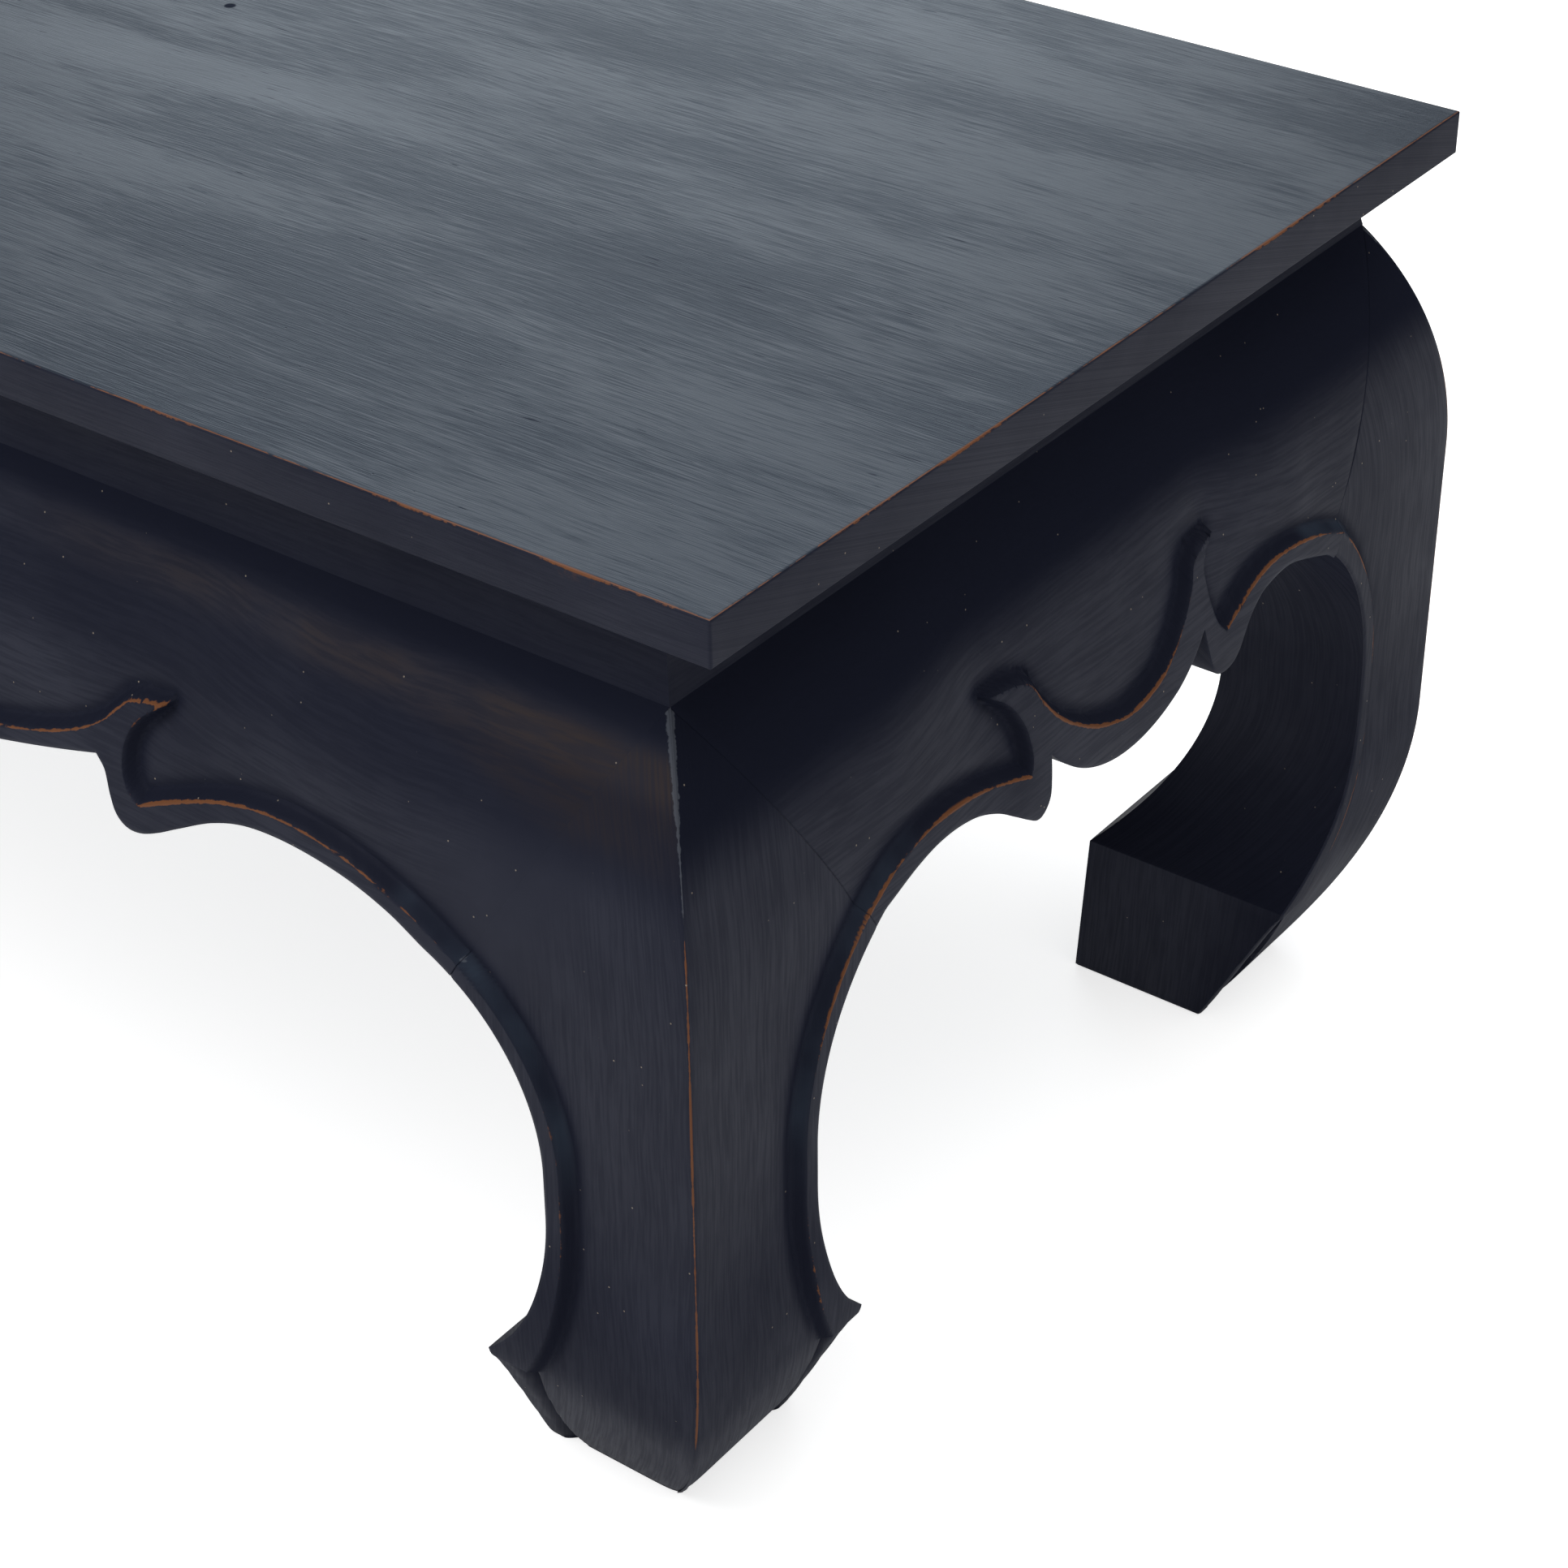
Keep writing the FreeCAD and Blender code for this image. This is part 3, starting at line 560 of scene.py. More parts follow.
def buildBodyLacquer():
    material, tree, shader = newMaterial("bodyLacquer", body["fixed"])
    place = addNode(tree, "TexCoord", {}, "Object")
    grain = groupNode(tree, brushGrain, Vector=grainVector(tree))
    strokes = grain["Strokes"]
    patches = noiseNode(tree, place, *body["patchNoise"])
    colour = mixNode(tree, spreadNode(tree, patches, *body["patches"]), lacquer["black"], lacquer["grey"])
    plain = lessNode(tree, 1.0, markNode(tree, "calm"))
    colour = coverNode(tree, colour, spreadNode(tree, strokes, *body["strokes"]), plain, "dark")
    # the shoulder's brown band, a painted highlight over rubbed lacquer, broken up by the strokes
    broken = spreadNode(tree, noiseNode(tree, place, *body["highlightBandNoise"]), *body["rubbedAndHighlight"])
    broken = timesNode(tree, markNode(tree, "rubbedAndHighlight"), broken)
    colour = coverNode(tree, colour, broken, spreadNode(tree, strokes, *body["highlightBandStrokes"]), "brown")
    # painted shade in the hollow, on the border's slope and under the top, which also darkens low on the foot
    deep = moreNode(tree, timesNode(tree, markNode(tree, "slope"), body["slope"]), markNode(tree, "grime"))
    deep = moreNode(tree, timesNode(tree, markNode(tree, "hollow"), body["hollow"]), deep)
    colour = coverNode(tree, colour, deep, body["deep"], "dark")
    slate = spreadNode(tree, noiseNode(tree, place, *body["slateNoise"]), *body["slate"])
    colour = coverNode(tree, colour, markNode(tree, "slate"), slate, "slate")
    # worn lines, mitres and specks
    # pale steel: the burnish along the mitre's gouge, and the painted highlight down the ridge
    burnishAndHighlight = wornNode(tree, place, "burnishAndHighlight", body["burnishKeep"])
    colour = coverNode(tree, colour, burnishAndHighlight, body["burnishAndHighlight"], "steel")
    worn = moreNode(tree, wornNode(tree, place, "arris", body["arrisKeep"]),
                    wornNode(tree, place, "ridge", body["ridgeKeep"]))
    colour = coverNode(tree, colour, worn, body["copper"], "copper")
    colour = coverNode(tree, colour, markNode(tree, "mitre"), body["mitre"], "dark")
    dots = groupNode(tree, specks, Vector=place)["Mask"]
    colour = coverNode(tree, colour, dots, body["dots"], "speck")
    rough = spreadNode(tree, patches, *body["rough"])
    rough = plusNode(tree, rough, timesNode(tree, worn, body["wornRough"]), True)
    # the polish is gone where shade is painted and weaker low on the legs
    polish = timesNode(tree, lessNode(tree, 1.0, deep, True), lessNode(tree, 1.0, markNode(tree, "dull"), True))
    polish = timesNode(tree, polish, spreadNode(tree, patches, *body["polish"]))
    streaks = timesNode(tree, spreadNode(tree, strokes, *body["polishStrokes"]), plain)
    polish = timesNode(tree, polish, plusNode(tree, streaks, 1.0))
    relief = lessNode(tree, timesNode(tree, grain["Relief"], plain), timesNode(tree, worn, body["wornDepth"]))
    relief = lessNode(tree, relief, dots)
    plugIn(tree, shader, {"Base Color": colour, "Roughness": rough, "Coat Weight": polish,
                          "Normal": bumpNode(tree, relief, *body["bump"])})
    return material


topCoat = {
    "fixed": {"Specular IOR Level": 0.2, "Specular Tint": (0.3, 0.6, 1.0, 1),
              "Coat IOR": 1.45, "Coat Roughness": 0.4},
    "stretch": (1.0, 1.6, 1.0), "patches": 0.5, "strokes": 0.5, "smears": 0.11, "shade": (0.43, 0.575),
    "knotPlace": (0.011, 0.043, 0.42), "knot": (0.0018, 0.0036, 1.0, 0.0), "nicks": 0.8,
    "arrisKeep": 0.82, "copper": 0.9, "dots": 0.6, "rough": (0.25, 0.8, 0.36, 0.50),
    "wax": 0.50, "leastWax": 0.02, "bump": (0.8, 0.0005),
}


def buildTopLacquer():
    material, tree, shader = newMaterial("topLacquer", topCoat["fixed"])
    place = addNode(tree, "TexCoord", {}, "Object")
    grain = groupNode(tree, brushGrain, Vector=stretchNode(tree, grainVector(tree), topCoat["stretch"]))
    shade = plusNode(tree, timesNode(tree, grain["Patches"], topCoat["patches"]),
                     timesNode(tree, grain["Strokes"], topCoat["strokes"]))
    shade = plusNode(tree, shade, timesNode(tree, markNode(tree, "smear"), topCoat["smears"]))
    shade = spreadNode(tree, shade, *topCoat["shade"])
    colour = mixNode(tree, shade, lacquer["topDark"], lacquer["topPale"])
    # one knot, by distance from its place, and the nicks
    gap = addNode(tree, "VectorMath", {0: place, 1: topCoat["knotPlace"]}, "Value", operation="DISTANCE")
    nicks = timesNode(tree, grain["Nicks"], topCoat["nicks"])
    pits = moreNode(tree, nicks, spreadNode(tree, gap, *topCoat["knot"]))
    colour = mixNode(tree, pits, colour, lacquer["dark"])
    worn = wornNode(tree, place, "arris", topCoat["arrisKeep"])
    colour = coverNode(tree, colour, worn, topCoat["copper"], "copper")
    dots = groupNode(tree, specks, Vector=place)["Mask"]
    colour = coverNode(tree, colour, dots, topCoat["dots"], "dark")
    rough = moreNode(tree, spreadNode(tree, grain["Patches"], *topCoat["rough"]), pits)
    # wiped wax: the pale strokes and smears are mostly sheen
    wax = plusNode(tree, timesNode(tree, shade, topCoat["wax"]), topCoat["leastWax"])
    wax = timesNode(tree, wax, lessNode(tree, 1.0, pits))
    relief = lessNode(tree, grain["Relief"], dots)
    plugIn(tree, shader, {"Base Color": colour, "Roughness": rough, "Coat Weight": wax,
                          "Normal": bumpNode(tree, relief, *topCoat["bump"])})
    return material


bare = {
    "fixed": {"Specular IOR Level": 0.3, "Specular Tint": lacquer["sheen"]},
    "strokes": (0.35, 0.68), "rough": (0.2, 0.8, 0.5, 0.75), "bump": (0.5, 0.0005),
}


def buildBareWood():
    # straight grain on the unseen battens, keys and tongues
    material, tree, shader = newMaterial("bareWood", bare["fixed"])
    grain = groupNode(tree, brushGrain, Vector=addNode(tree, "TexCoord", {}, "Object"))
    strokes = spreadNode(tree, grain["Strokes"], *bare["strokes"])
    plugIn(tree, shader, {"Base Color": mixNode(tree, strokes, lacquer["wood"], lacquer["woodDark"]),
                          "Roughness": spreadNode(tree, grain["Patches"], *bare["rough"]),
                          "Normal": bumpNode(tree, grain["Relief"], *bare["bump"])})
    return material


bodyLacquer = buildBodyLacquer()
topLacquer = buildTopLacquer()
bareWood = buildBareWood()
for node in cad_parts.values():
    node.data.materials.clear()
    node.data.materials.append(bareWood)
print("finishes mixed")

# aprons
apron = {
    "fine": 0.8, "fineUpTo": 22.0, "middle": 1.6, "middleUpTo": 66.0, "rows": 112.0, "backRows": 9,
    "carvedStep": 0.8, "lipStep": 0.45, "plainStep": 1.7, "fan": 4.0, "topRows": 12, "underRows": 7,
    "carvedBefore": 52, "carvedPast": 50, "lipBack": 6, "lipSpan": 9, "mitreStrip": 0.3,
    "grainShift": (291, 137),
}


def apronColumns(run):
    lips = [c[-1][0] for c in run["crown"]]

    def stepAt(s):
        reach = np.where(s < 0, s + run["half"], run["half"] - s)
        lip = np.where(s < 0, lips[0], lips[1])
        carved = (reach > lip - apron["carvedBefore"]) & (reach < lip + apron["carvedPast"])
        atLip = np.abs(reach - lip + apron["lipBack"]) < apron["lipSpan"]
        return np.where(atLip, apron["lipStep"], np.where(carved, apron["carvedStep"], apron["plainStep"]))

    reach = run["half"] - run["mitreFoot"][0]
    strip = apron["mitreStrip"]
    places = spacedOut(-reach, reach, stepAt)
    return np.concatenate([[-reach, -reach + strip], places[1:-1], [reach - strip, reach]])


def apronSurface(run):
    # columns stand on the carved edge and fan out to the mitres; each one is a closed ring round the board
    low = apronColumns(run)
    reach = low[-1]
    line = run["edge"]
    keep = (np.abs(line[:, 0]) < reach + 2) & (line[:, 1] > table["calfHigh"])
    zLow = np.interp(low, line[keep, 0], line[keep, 1])
    zLow[[0, -1]] = run["mitreFoot"][1]
    high = low + (run["half"] - reach) * np.sign(low) * (np.abs(low) / reach) ** apron["fan"]
    top = table["apronTop"]
    r = np.concatenate([np.arange(0, apron["fineUpTo"], apron["fine"]),
                        np.arange(apron["fineUpTo"], apron["middleUpTo"], apron["middle"]),
                        np.linspace(apron["middleUpTo"], apron["rows"], apron["topRows"])])
    tall = (top - zLow)[:, None]
    z = zLow[:, None] + r * (1 + (tall / r[-1] - 1) * (r / r[-1]) ** 2)
    z[:, -1] = top
    along = (z - zLow[:, None]) / tall
    s = low[:, None] + (high - low)[:, None] * along
    step = np.broadcast_to(np.maximum(np.gradient(r), apron["fine"])[None, :], z.shape)
    loose = np.zeros(z.shape, bool)
    loose[2:-2, 1:-6] = True
    s, z, out, marks = carvedFace(run, s, z, step, loose)
    rise = z - zLow[:, None]
    out = out - carving["edgeDeep"] * np.exp(-(rise / carving["edgeWide"]) ** 2)
    lean = math.atan(table["mitreRun"] / table["mitreDrop"])
    mitreGap = (run["half"] - np.abs(s) - mitreReach(z)) * math.cos(lean)
    hair = np.exp(-(mitreGap / carving["hairWide"]) ** 2)
    out = out - openMitre(run, marks, hair, mitreGap)
    marks["ridge"] = np.zeros(z.shape)
    # back and underside
    t = np.linspace(0, 1, apron["backRows"])[None, :]
    zBack = top + (zLow[:, None] - top) * t
    sBack = low[:, None] + (high - low)[:, None] * (zBack - zLow[:, None]) / tall
    outBack = np.broadcast_to(-backDepth(zBack), zBack.shape)
    limit = run["half"] + outBack
    sBack = np.clip(sBack, -limit, limit)
    under = np.linspace(0, 1, apron["underRows"])[None, 1:-1]
    sUnder = np.broadcast_to(low[:, None], (len(low), under.shape[1]))
    zUnder = np.broadcast_to(zLow[:, None], sUnder.shape)
    outUnder = outBack[:, -1:] + (out[:, :1] - outBack[:, -1:]) * under
    ring = np.stack([np.concatenate(parts, 1) for parts in
                     ((s, sBack, sUnder), (out, outBack, outUnder), (z, zBack, zUnder))], 2)
    blank = np.zeros((len(low), ring.shape[1] - z.shape[1]))
    marks = {key: np.concatenate([value, blank], 1) for key, value in marks.items()}
    return ring, marks


def placeSide(ring, along, outward, outAt):
    # (place along, outwards from the waist, height) into the table's own axes
    s, out, z = ring[..., 0:1], ring[..., 1:2] + outAt, ring[..., 2:3]
    return np.concatenate([s * along + out * outward, z], -1)


runs = {
    "front": (side, (1, 0), (0, -1)), "rear": (side, (-1, 0), (0, 1)),
    "right": (end, (0, 1), (1, 0)), "left": (end, (0, 1), (-1, 0)),
}
surfaces = {id(run): apronSurface(run) for run in (side, end)}
for name, (run, along, outward) in runs.items():
    ring, marks = surfaces[id(run)]
    points = placeSide(ring, along, outward, run["out"])
    grain = np.dot(apron["grainShift"], outward)
    uv = np.stack([ring[..., 0] + grain, ring[..., 2] + ring[..., 1]], -1)
    makePiece(name + "_apron", points, marks, uv, bodyLacquer)
print("aprons carved")

# legs, worked out once for one corner: the first coordinate runs along the long side and the second
# along the end, both inwards from the waist corner
leg = {
    "columns": 105.0, "first": 0.35, "fine": 1.0, "fineUpTo": 30.0, "coarse": 4.2, "coarseStop": 5,
    "ridgeColumns": (3.4, 2.0, 1.0, 0.4, 0.0), "rowStep": 1.4, "toeStep": 0.45,
    "toeSpan": (62, 72), "soleRow": 1.2, "mitreCosine": 0.855, "farOff": 60,
    "ridgeWorn": 0.55, "footWorn": 2.5, "footWornFall": (60, 0), "wornFade": 1.6,
    "ridgeWide": 0.8, "ridgeFall": (318, 292), "ridgeRise": (58, 80),
    "ridgeHighlightWide": 1.3, "ridgeHighlightSpread": (318, 352), "ridgeHighlightRise": (294, 314),
    "soleEase": 1.3, "soleReach": 60, "knee": 73.5, "grainShift": (61, 83),
}


def legFace(run, other, z, c):
    # columns from the opening, or the mitre higher up, across to the ridge at the other face
    inner = np.minimum(run["legReach"](np.minimum(z, run["mitreFoot"][1])), np.maximum(mitreReach(z), 0))
    ridge = -bulgeAt(other, z)
    total = np.maximum(inner - ridge, 1e-4)[:, None]
    q = inner[:, None] - c[None, :] / c[-1] * total
    zz = np.broadcast_to(z[:, None], q.shape)
    step = np.broadcast_to(np.gradient(c)[None, :], q.shape) * total / c[-1]
    loose = np.zeros(q.shape, bool)
    loose[3:-3, 1:-6] = True
    s, zz, out, marks = carvedFace(run, q - run["half"], zz, step, loose)
    q = s + run["half"]
    toRidge = q - ridge[:, None]
    worn = leg["ridgeWorn"] * (1 + leg["footWorn"] * smooth(*leg["footWornFall"], zz))
    out = out - worn * np.exp(-toRidge / (worn * leg["wornFade"]))
    fromEdge = inner[:, None] - q
    below = zz < run["mitreFoot"][1]
    out = out - np.where(below, carving["edgeDeep"] * np.exp(-(fromEdge / carving["edgeWide"]) ** 2), 0)
    hair = np.where(below, 0, np.exp(-(fromEdge * leg["mitreCosine"] / carving["hairWide"]) ** 2))
    out = out - openMitre(run, marks, hair, np.where(below, leg["farOff"], fromEdge))
    line = np.exp(-(toRidge / leg["ridgeWide"]) ** 2)
    marks["ridge"] = line * smooth(*leg["ridgeFall"], zz) * smooth(*leg["ridgeRise"], zz)
    # painted highlight: a pale streak down the top of the ridge, wider higher up, carried in the burnish mark
    wide = leg["ridgeHighlightWide"] + leg["ridgeHighlightWide"] * smooth(*leg["ridgeHighlightSpread"], zz)
    ridgeHighlight = np.exp(-(toRidge / wide) ** 2) * smooth(*leg["ridgeHighlightRise"], zz)
    marks["burnishAndHighlight"] = np.maximum(marks["burnishAndHighlight"], ridgeHighlight)
    return q, out, zz, marks


def legSurface():
    def rowStep(z):
        low, high = leg["toeSpan"]
        return np.where((z > low) & (z < high), leg["toeStep"], leg["rowStep"])

    z = spacedOut(leg["soleRow"], table["apronTop"], rowStep)
    z = np.concatenate([[0.0], z])
    c = np.concatenate([[0.0, leg["first"]], np.arange(leg["fine"], leg["fineUpTo"], leg["fine"]),
                        np.arange(leg["fineUpTo"], leg["columns"] - leg["coarseStop"], leg["coarse"]),
                        leg["columns"] - np.array(leg["ridgeColumns"])])
    q1, out1, z1, marks1 = legFace(side, end, z, c)
    q2, out2, z2, marks2 = legFace(end, side, z, c)
    one = np.stack([q1, -out1, z1], 2)
    two = np.stack([-out2, q2, z2], 2)[:, ::-1]
    ridge = (one[:, -1:] + two[:, :1]) / 2
    first, last = one[:, 0], two[:, -1]
    foot = np.minimum(z, min(side["mitreFoot"][1], end["mitreFoot"][1]))
    high = z > foot
    knee = np.stack([np.where(high, leg["knee"], first[:, 0]), np.where(high, leg["knee"], last[:, 1]), z], 1)
    depth = backDepth(z)

    def inside(start, x, y, thirds):
        # on the apron's back above the mitre's foot, part of the way to the knee below it
        return np.where(high[:, None], np.stack([x, y, z], 1), start + (knee - start) * thirds / 3)

    inner = np.stack([inside(last, depth, last[:, 1], 1), inside(last, depth, knee[:, 1], 2), knee,
                      inside(first, knee[:, 0], depth, 2), inside(first, first[:, 0], depth, 1)], 1)
    ring = np.concatenate([one[:, :-1], ridge, two[:, 1:], inner], 1)
    count = one.shape[1] - 1
    # the sole's edge is eased, and the post above the shoulder is a plain square
    middle = ring[1].mean(0)
    ring[0] = ring[1] + (middle - ring[1]) * leg["soleEase"] / leg["soleReach"]
    ring[0, :, 2] = 0
    low, big = table["apronThick"], leg["knee"]
    outer = np.full((2 * count + 1, 2), low)
    post = np.concatenate([outer, [[low, low + 1], [low, big], [big, big], [big, low], [low + 1, low]]])
    posts = [np.concatenate([post, np.full((len(post), 1), height)], 1)
             for height in (table["apronTop"], table["topUnder"])]
    ring = np.concatenate([ring, np.stack(posts)], 0)
    marks = {}
    for key in marks1:
        both = np.concatenate([marks1[key], marks2[key][:, ::-1][:, 1:]], 1)
        full = np.zeros(ring.shape[:2])
        full[: len(z), : both.shape[1]] = both
        marks[key] = full
    return ring, marks


ring, marks = legSurface()
corners = {"front_left": (-1, -1), "front_right": (1, -1), "rear_left": (-1, 1), "rear_right": (1, 1)}
for name, corner in corners.items():
    flat = (np.array([table["waistX"], table["waistY"]]) - ring[..., :2]) * corner
    points = np.concatenate([flat, ring[..., 2:]], -1)
    uv = np.stack([ring[..., 2], ring[..., 1] - ring[..., 0]], -1) + np.multiply(leg["grainShift"], corner)
    makePiece(name + "_leg", points, marks, uv, bodyLacquer)
print("legs bowed")

# waist rails: one coved section carried between the mitres
rail = {"grime": 0.6, "thick": 18.0, "cove": 2.0, "coveCurve": 0.8, "rows": 13, "step": 12.0,
        "grainShift": (211, 57)}


def railSurface(run):
    low, high = table["apronTop"], table["topUnder"]
    z = np.linspace(low, high, rail["rows"])
    out = -rail["cove"] * np.sin(np.pi * (z - low) / (high - low)) ** rail["coveCurve"]
    out = np.concatenate([out, [-rail["thick"], -rail["thick"]]])
    z = np.concatenate([z, [high, low]])
    reach = run["half"] + out
    share = np.linspace(-1, 1, int(2 * run["half"] / rail["step"]))[:, None]
    s = share * reach[None, :]
    return np.stack([s, np.broadcast_to(out, s.shape), np.broadcast_to(z, s.shape)], 2)


for name, (run, along, outward) in runs.items():
    ring = railSurface(run)
    points = placeSide(ring, along, outward, run["out"])
    uv = ring[..., [0, 2]] + np.multiply(rail["grainShift"], outward)
    blank = {key: np.zeros(ring.shape[:2]) for key in surfaceMarks}
    # the rails lie in painted shade under the top
    blank["grime"] += rail["grime"]
    makePiece(name + "_waist_rail", points, blank, uv, bodyLacquer)
print("waist rails run")

# top boards: a section with eased edges carried along the table, its ends eased the same way
board = {
    "grime": 0.12, "ease": 1.1, "joint": 0.05, "lengthwise": 500.0, "half": 250, "step": 10.0, "across": 6.0,
    "turnPoints": 6, "rim": (0.5, 1.2), "margin": 4, "farOff": 99, "arrisWide": 1.0, "topFrom": 0.75,
    "grainLean": (0.2, 3),
    # pale and dark smears on the top: place, half length, half width, strength
    "smears": [(70, -18, 95, 14, 1.0), (-25, -30, 60, 12, 0.7), (57, -101, 60, 14, 0.5),
               (250, 195, 120, 30, 0.5), (345, -60, 90, 24, -0.7), (173, 109, 80, 22, -0.6),
               (-5, 3, 60, 5, -0.8), (190, -150, 90, 18, -0.4), (-260, 40, 130, 20, 0.8),
               (-330, -120, 110, 24, -0.6), (-150, 170, 120, 18, 0.6), (-400, 150, 80, 20, -0.5)],
}


def rimmed(low, high, easeLow, easeHigh, count):
    # even places from edge to edge, and two more beside each eased edge
    (first, second), margin = board["rim"], board["margin"]
    return np.concatenate([[low + easeLow + first, low + easeLow + second],
                           np.linspace(low + margin, high - margin, count),
                           [high - easeHigh - second, high - easeHigh - first]])


def easedSection(low, high, easeLow, easeHigh):
    # closed outline across the board: underside, outer edge, top face, other edge
    bottom, top = table["topUnder"], table["topFace"]
    turn = np.linspace(0, np.pi / 2, board["turnPoints"])

    def corner(y, z, ease, start):
        return np.stack([y + ease * np.cos(start + turn), z + ease * np.sin(start + turn)], 1)

    face = rimmed(low, high, easeLow, easeHigh, int((high - low) / board["across"]))
    topFace = np.stack([face[::-1], np.full(len(face), top)], 1)
    under = np.stack([face, np.full(len(face), bottom)], 1)
    e, f = easeHigh, easeLow
    return np.vstack([
        under, corner(high - e, bottom + e, e, -np.pi / 2), corner(high - e, top - e, e, 0),
        topFace, corner(low + f, top - f, f, np.pi / 2), corner(low + f, bottom + f, f, np.pi)])


def boardSurface(low, high, easeLow, easeHigh):
    section = easedSection(low, high, easeLow, easeHigh)
    ease = board["ease"]
    turn = np.linspace(0, np.pi / 2, board["turnPoints"])
    stop = board["lengthwise"]
    x = stop - ease + ease * np.sin(turn)
    inset = ease - ease * np.cos(turn)
    middle = rimmed(-stop, stop, ease, ease, int(2 * stop / board["step"]))
    x = np.concatenate([-x[::-1], middle, x])
    inset = np.concatenate([inset[::-1], np.zeros(len(middle)), inset])
    bottom, top = table["topUnder"], table["topFace"]
    # only the outer edges are rounded, not the joints between boards
    outerLow, outerHigh = easeLow > board["joint"], easeHigh > board["joint"]
    y = np.clip(section[None, :, 0], (low + inset * outerLow)[:, None], (high - inset * outerHigh)[:, None])
    z = np.clip(section[None, :, 1], (bottom + inset)[:, None], (top - inset)[:, None])
    ring = np.stack([np.broadcast_to(x[:, None], y.shape), y, z], 2)
    toEnd = stop - np.abs(ring[..., 0])
    toSide = np.minimum(np.where(outerLow, ring[..., 1] - low, board["farOff"]),
                        np.where(outerHigh, high - ring[..., 1], board["farOff"]))
    toTop = top - ring[..., 2]
    toEdge = np.minimum(toEnd, toSide)
    marks = {key: np.zeros(ring.shape[:2]) for key in surfaceMarks}
    marks["arris"] = np.exp(-((toEdge + toTop) / board["arrisWide"]) ** 2)
    # the edges and underside a little darker
    marks["grime"] += board["grime"]
    for smearX, smearY, long, wide, strength in board["smears"]:
        gap = -((ring[..., 0] - smearX) / long) ** 2 - ((ring[..., 1] - smearY) / wide) ** 2
        marks["smear"] += strength * np.exp(gap)
    return ring, marks


half, third = board["half"], board["half"] / 3
boards = {"front": (-half, -third), "middle": (-third, third), "rear": (third, half)}
for name, (low, high) in boards.items():
    easeLow = board["ease"] if low == -half else board["joint"]
    easeHigh = board["ease"] if high == half else board["joint"]
    ring, marks = boardSurface(low, high, easeLow, easeHigh)
    uv = ring[..., :2] + ring[..., 2:] * board["grainLean"]
    piece = makePiece(name + "_top_board", ring, marks, uv, topLacquer)
    # edges and underside keep the darker finish of the base
    piece.data.materials.append(bodyLacquer)
    normals = np.empty(3 * len(piece.data.polygons), np.float32)
    piece.data.polygons.foreach_get("normal", normals)
    piece.data.polygons.foreach_set("material_index", (normals[2::3] < board["topFrom"]).astype(np.int32))
print("top boards laid")

# studio: pale floor that also glows to the eye and the gloss, dim sides with a soft ceiling, two soft lamps.
# a lamp is its place, aim, size, watts and tint
studio = {
    "floorSize": 60.0, "floorGlow": 0.7,
    "floor": {"Base Color": (0.86, 0.86, 0.86, 1), "Roughness": 0.9, "Specular IOR Level": 0.0,
              "Emission Color": (1, 1, 1, 1)},
    "horizon": 0.16, "sides": 0.30, "sidesFrom": (0.0, 0.3), "endShare": 1.5, "endFrom": (0.0, 0.6),
    "ceiling": 1.6, "ceilingFrom": (0.76, 0.95),
    "lamps": {"keyLight": ((-0.9, -2.0, 2.5), (0.2, 0, 0.3), 1.8, 30.0, (1, 1, 1)),
              "windowLight": ((-1.9, 2.75, 1.4), (0.2, 0, 0.4), 2.3, 25.0, (0.82, 0.92, 1.0))},
}


def buildFloor():
    half = studio["floorSize"] / 2
    mesh = bpy.data.meshes.new("floor")
    mesh.from_pydata([(-half, -half, 0), (half, -half, 0), (half, half, 0), (-half, half, 0)], [],
                     [(0, 1, 2, 3)])
    floor = bpy.data.objects.new("floor", mesh)
    scene.collection.objects.link(floor)
    material, tree, shader = newMaterial("paleFloor", studio["floor"])
    rays = tree.nodes.new("ShaderNodeLightPath").outputs
    seen = moreNode(tree, rays["Is Camera Ray"], rays["Is Glossy Ray"])
    plugIn(tree, shader, {"Emission Strength": timesNode(tree, seen, studio["floorGlow"])})
    mesh.materials.append(material)


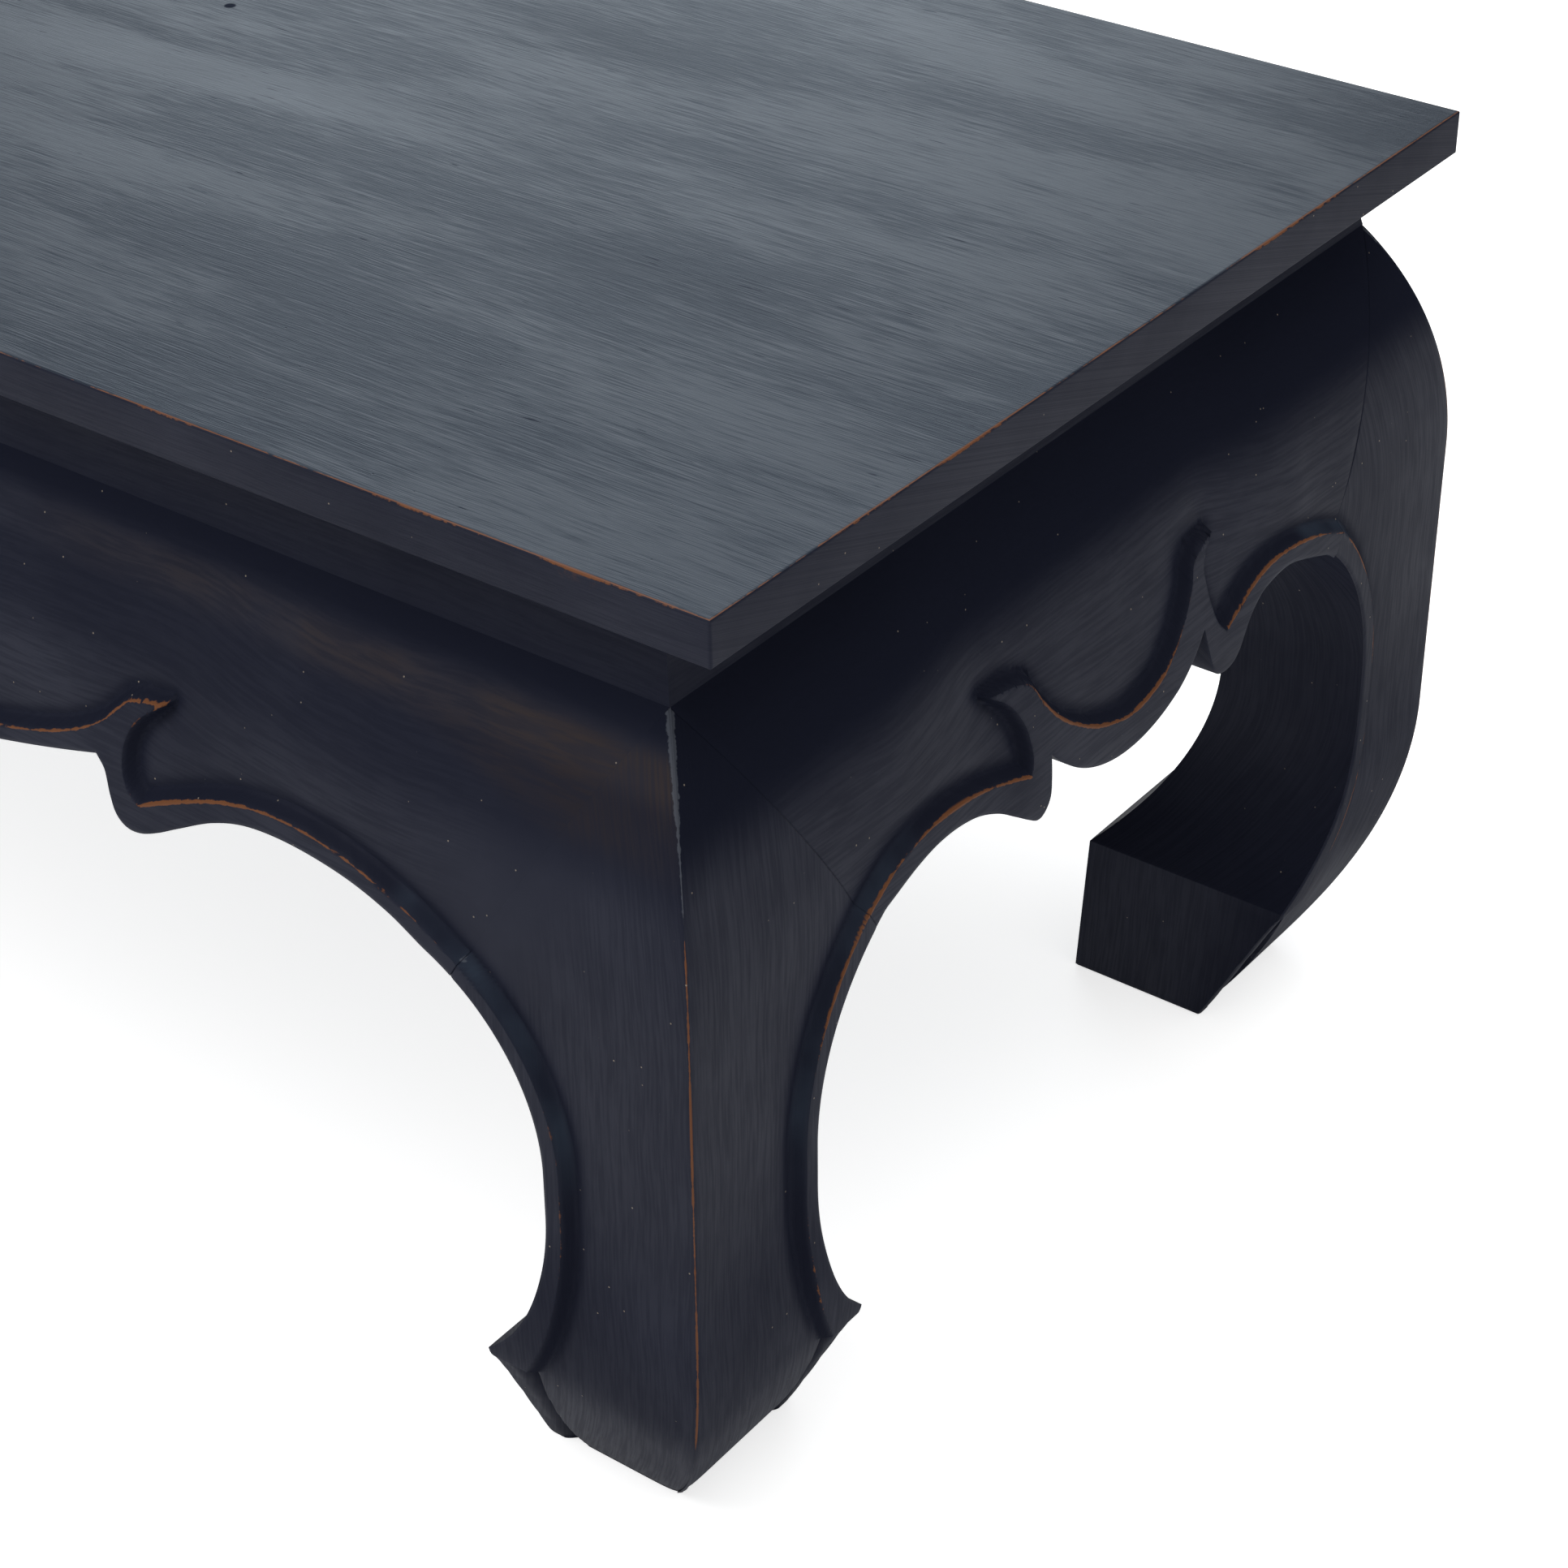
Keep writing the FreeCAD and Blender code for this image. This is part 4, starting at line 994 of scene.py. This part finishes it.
def buildWorld():
    # dim from the horizon up the sides, stronger towards the right end, with a soft ceiling straight above
    world = bpy.data.worlds.new("surround")
    scene.world = world
    world.use_nodes = True
    tree = world.node_tree
    tree.nodes.clear()
    axes = addNode(tree, "SeparateXYZ", {0: addNode(tree, "TexCoord", {}, "Generated")}).node.outputs
    acrossX, upZ = axes[0], axes[2]
    around = timesNode(tree, spreadNode(tree, upZ, *studio["sidesFrom"], studio["horizon"], studio["sides"]),
                       spreadNode(tree, acrossX, *studio["endFrom"], 1.0, studio["endShare"]))
    light = plusNode(tree, around, spreadNode(tree, upZ, *studio["ceilingFrom"], 0.0, studio["ceiling"]))
    glow = addNode(tree, "Background", {"Color": (1, 1, 1, 1), "Strength": light})
    plugIn(tree, tree.nodes.new("ShaderNodeOutputWorld"), {"Surface": glow})


def standAt(place, right, up, back):
    # one matrix from a place and three axes
    return Matrix([[right[i], up[i], back[i], place[i]] for i in range(3)] + [[0, 0, 0, 1]])


def addSoftbox(name, place, aim, size, watts, tint):
    lamp = bpy.data.lights.new(name, "AREA")
    lamp.shape = "DISK"
    lamp.size = size
    lamp.energy = watts
    lamp.color = tint
    box = bpy.data.objects.new(name, lamp)
    back = np.array(place) - np.array(aim)
    back = back / np.linalg.norm(back)
    right = np.cross((0, 0, 1), back)
    right = right / np.linalg.norm(right)
    box.matrix_world = standAt(place, right, np.cross(back, right), back)
    scene.collection.objects.link(box)


buildFloor()
buildWorld()
for name, lamp in studio["lamps"].items():
    addSoftbox(name, *lamp)
print("studio lit")

# camera, set from the photograph's vanishing lines; distances from the near top corner, millimetres
view = {"lens": 83.577, "sensor": 36, "turn": 36.8917, "tilt": 33.2938, "roll": -0.5253,
        "right": -23.312, "up": 51.092, "away": 1143.6, "corner": (500.0, -250.0, 420.0), "farthest": 50}


def placeCamera():
    turn, tilt, roll = (math.radians(view[k]) for k in ("turn", "tilt", "roll"))
    back = np.array([math.sin(turn) * math.cos(tilt), -math.cos(turn) * math.cos(tilt), math.sin(tilt)])
    right = np.array([math.cos(turn), math.sin(turn), 0])
    up = np.cross(back, right)
    right, up = math.cos(roll) * right + math.sin(roll) * up, math.cos(roll) * up - math.sin(roll) * right
    place = np.array(view["corner"]) - view["right"] * right - view["up"] * up + view["away"] * back
    data = bpy.data.cameras.new("viewer")
    data.sensor_width = view["sensor"]
    data.lens = view["lens"]
    data.clip_end = view["farthest"]
    camera = bpy.data.objects.new("viewer", data)
    camera.matrix_world = standAt(place / 1000, right, up, back)
    scene.collection.objects.link(camera)
    scene.camera = camera


placeCamera()
bpy.context.view_layer.update()
print("camera placed")
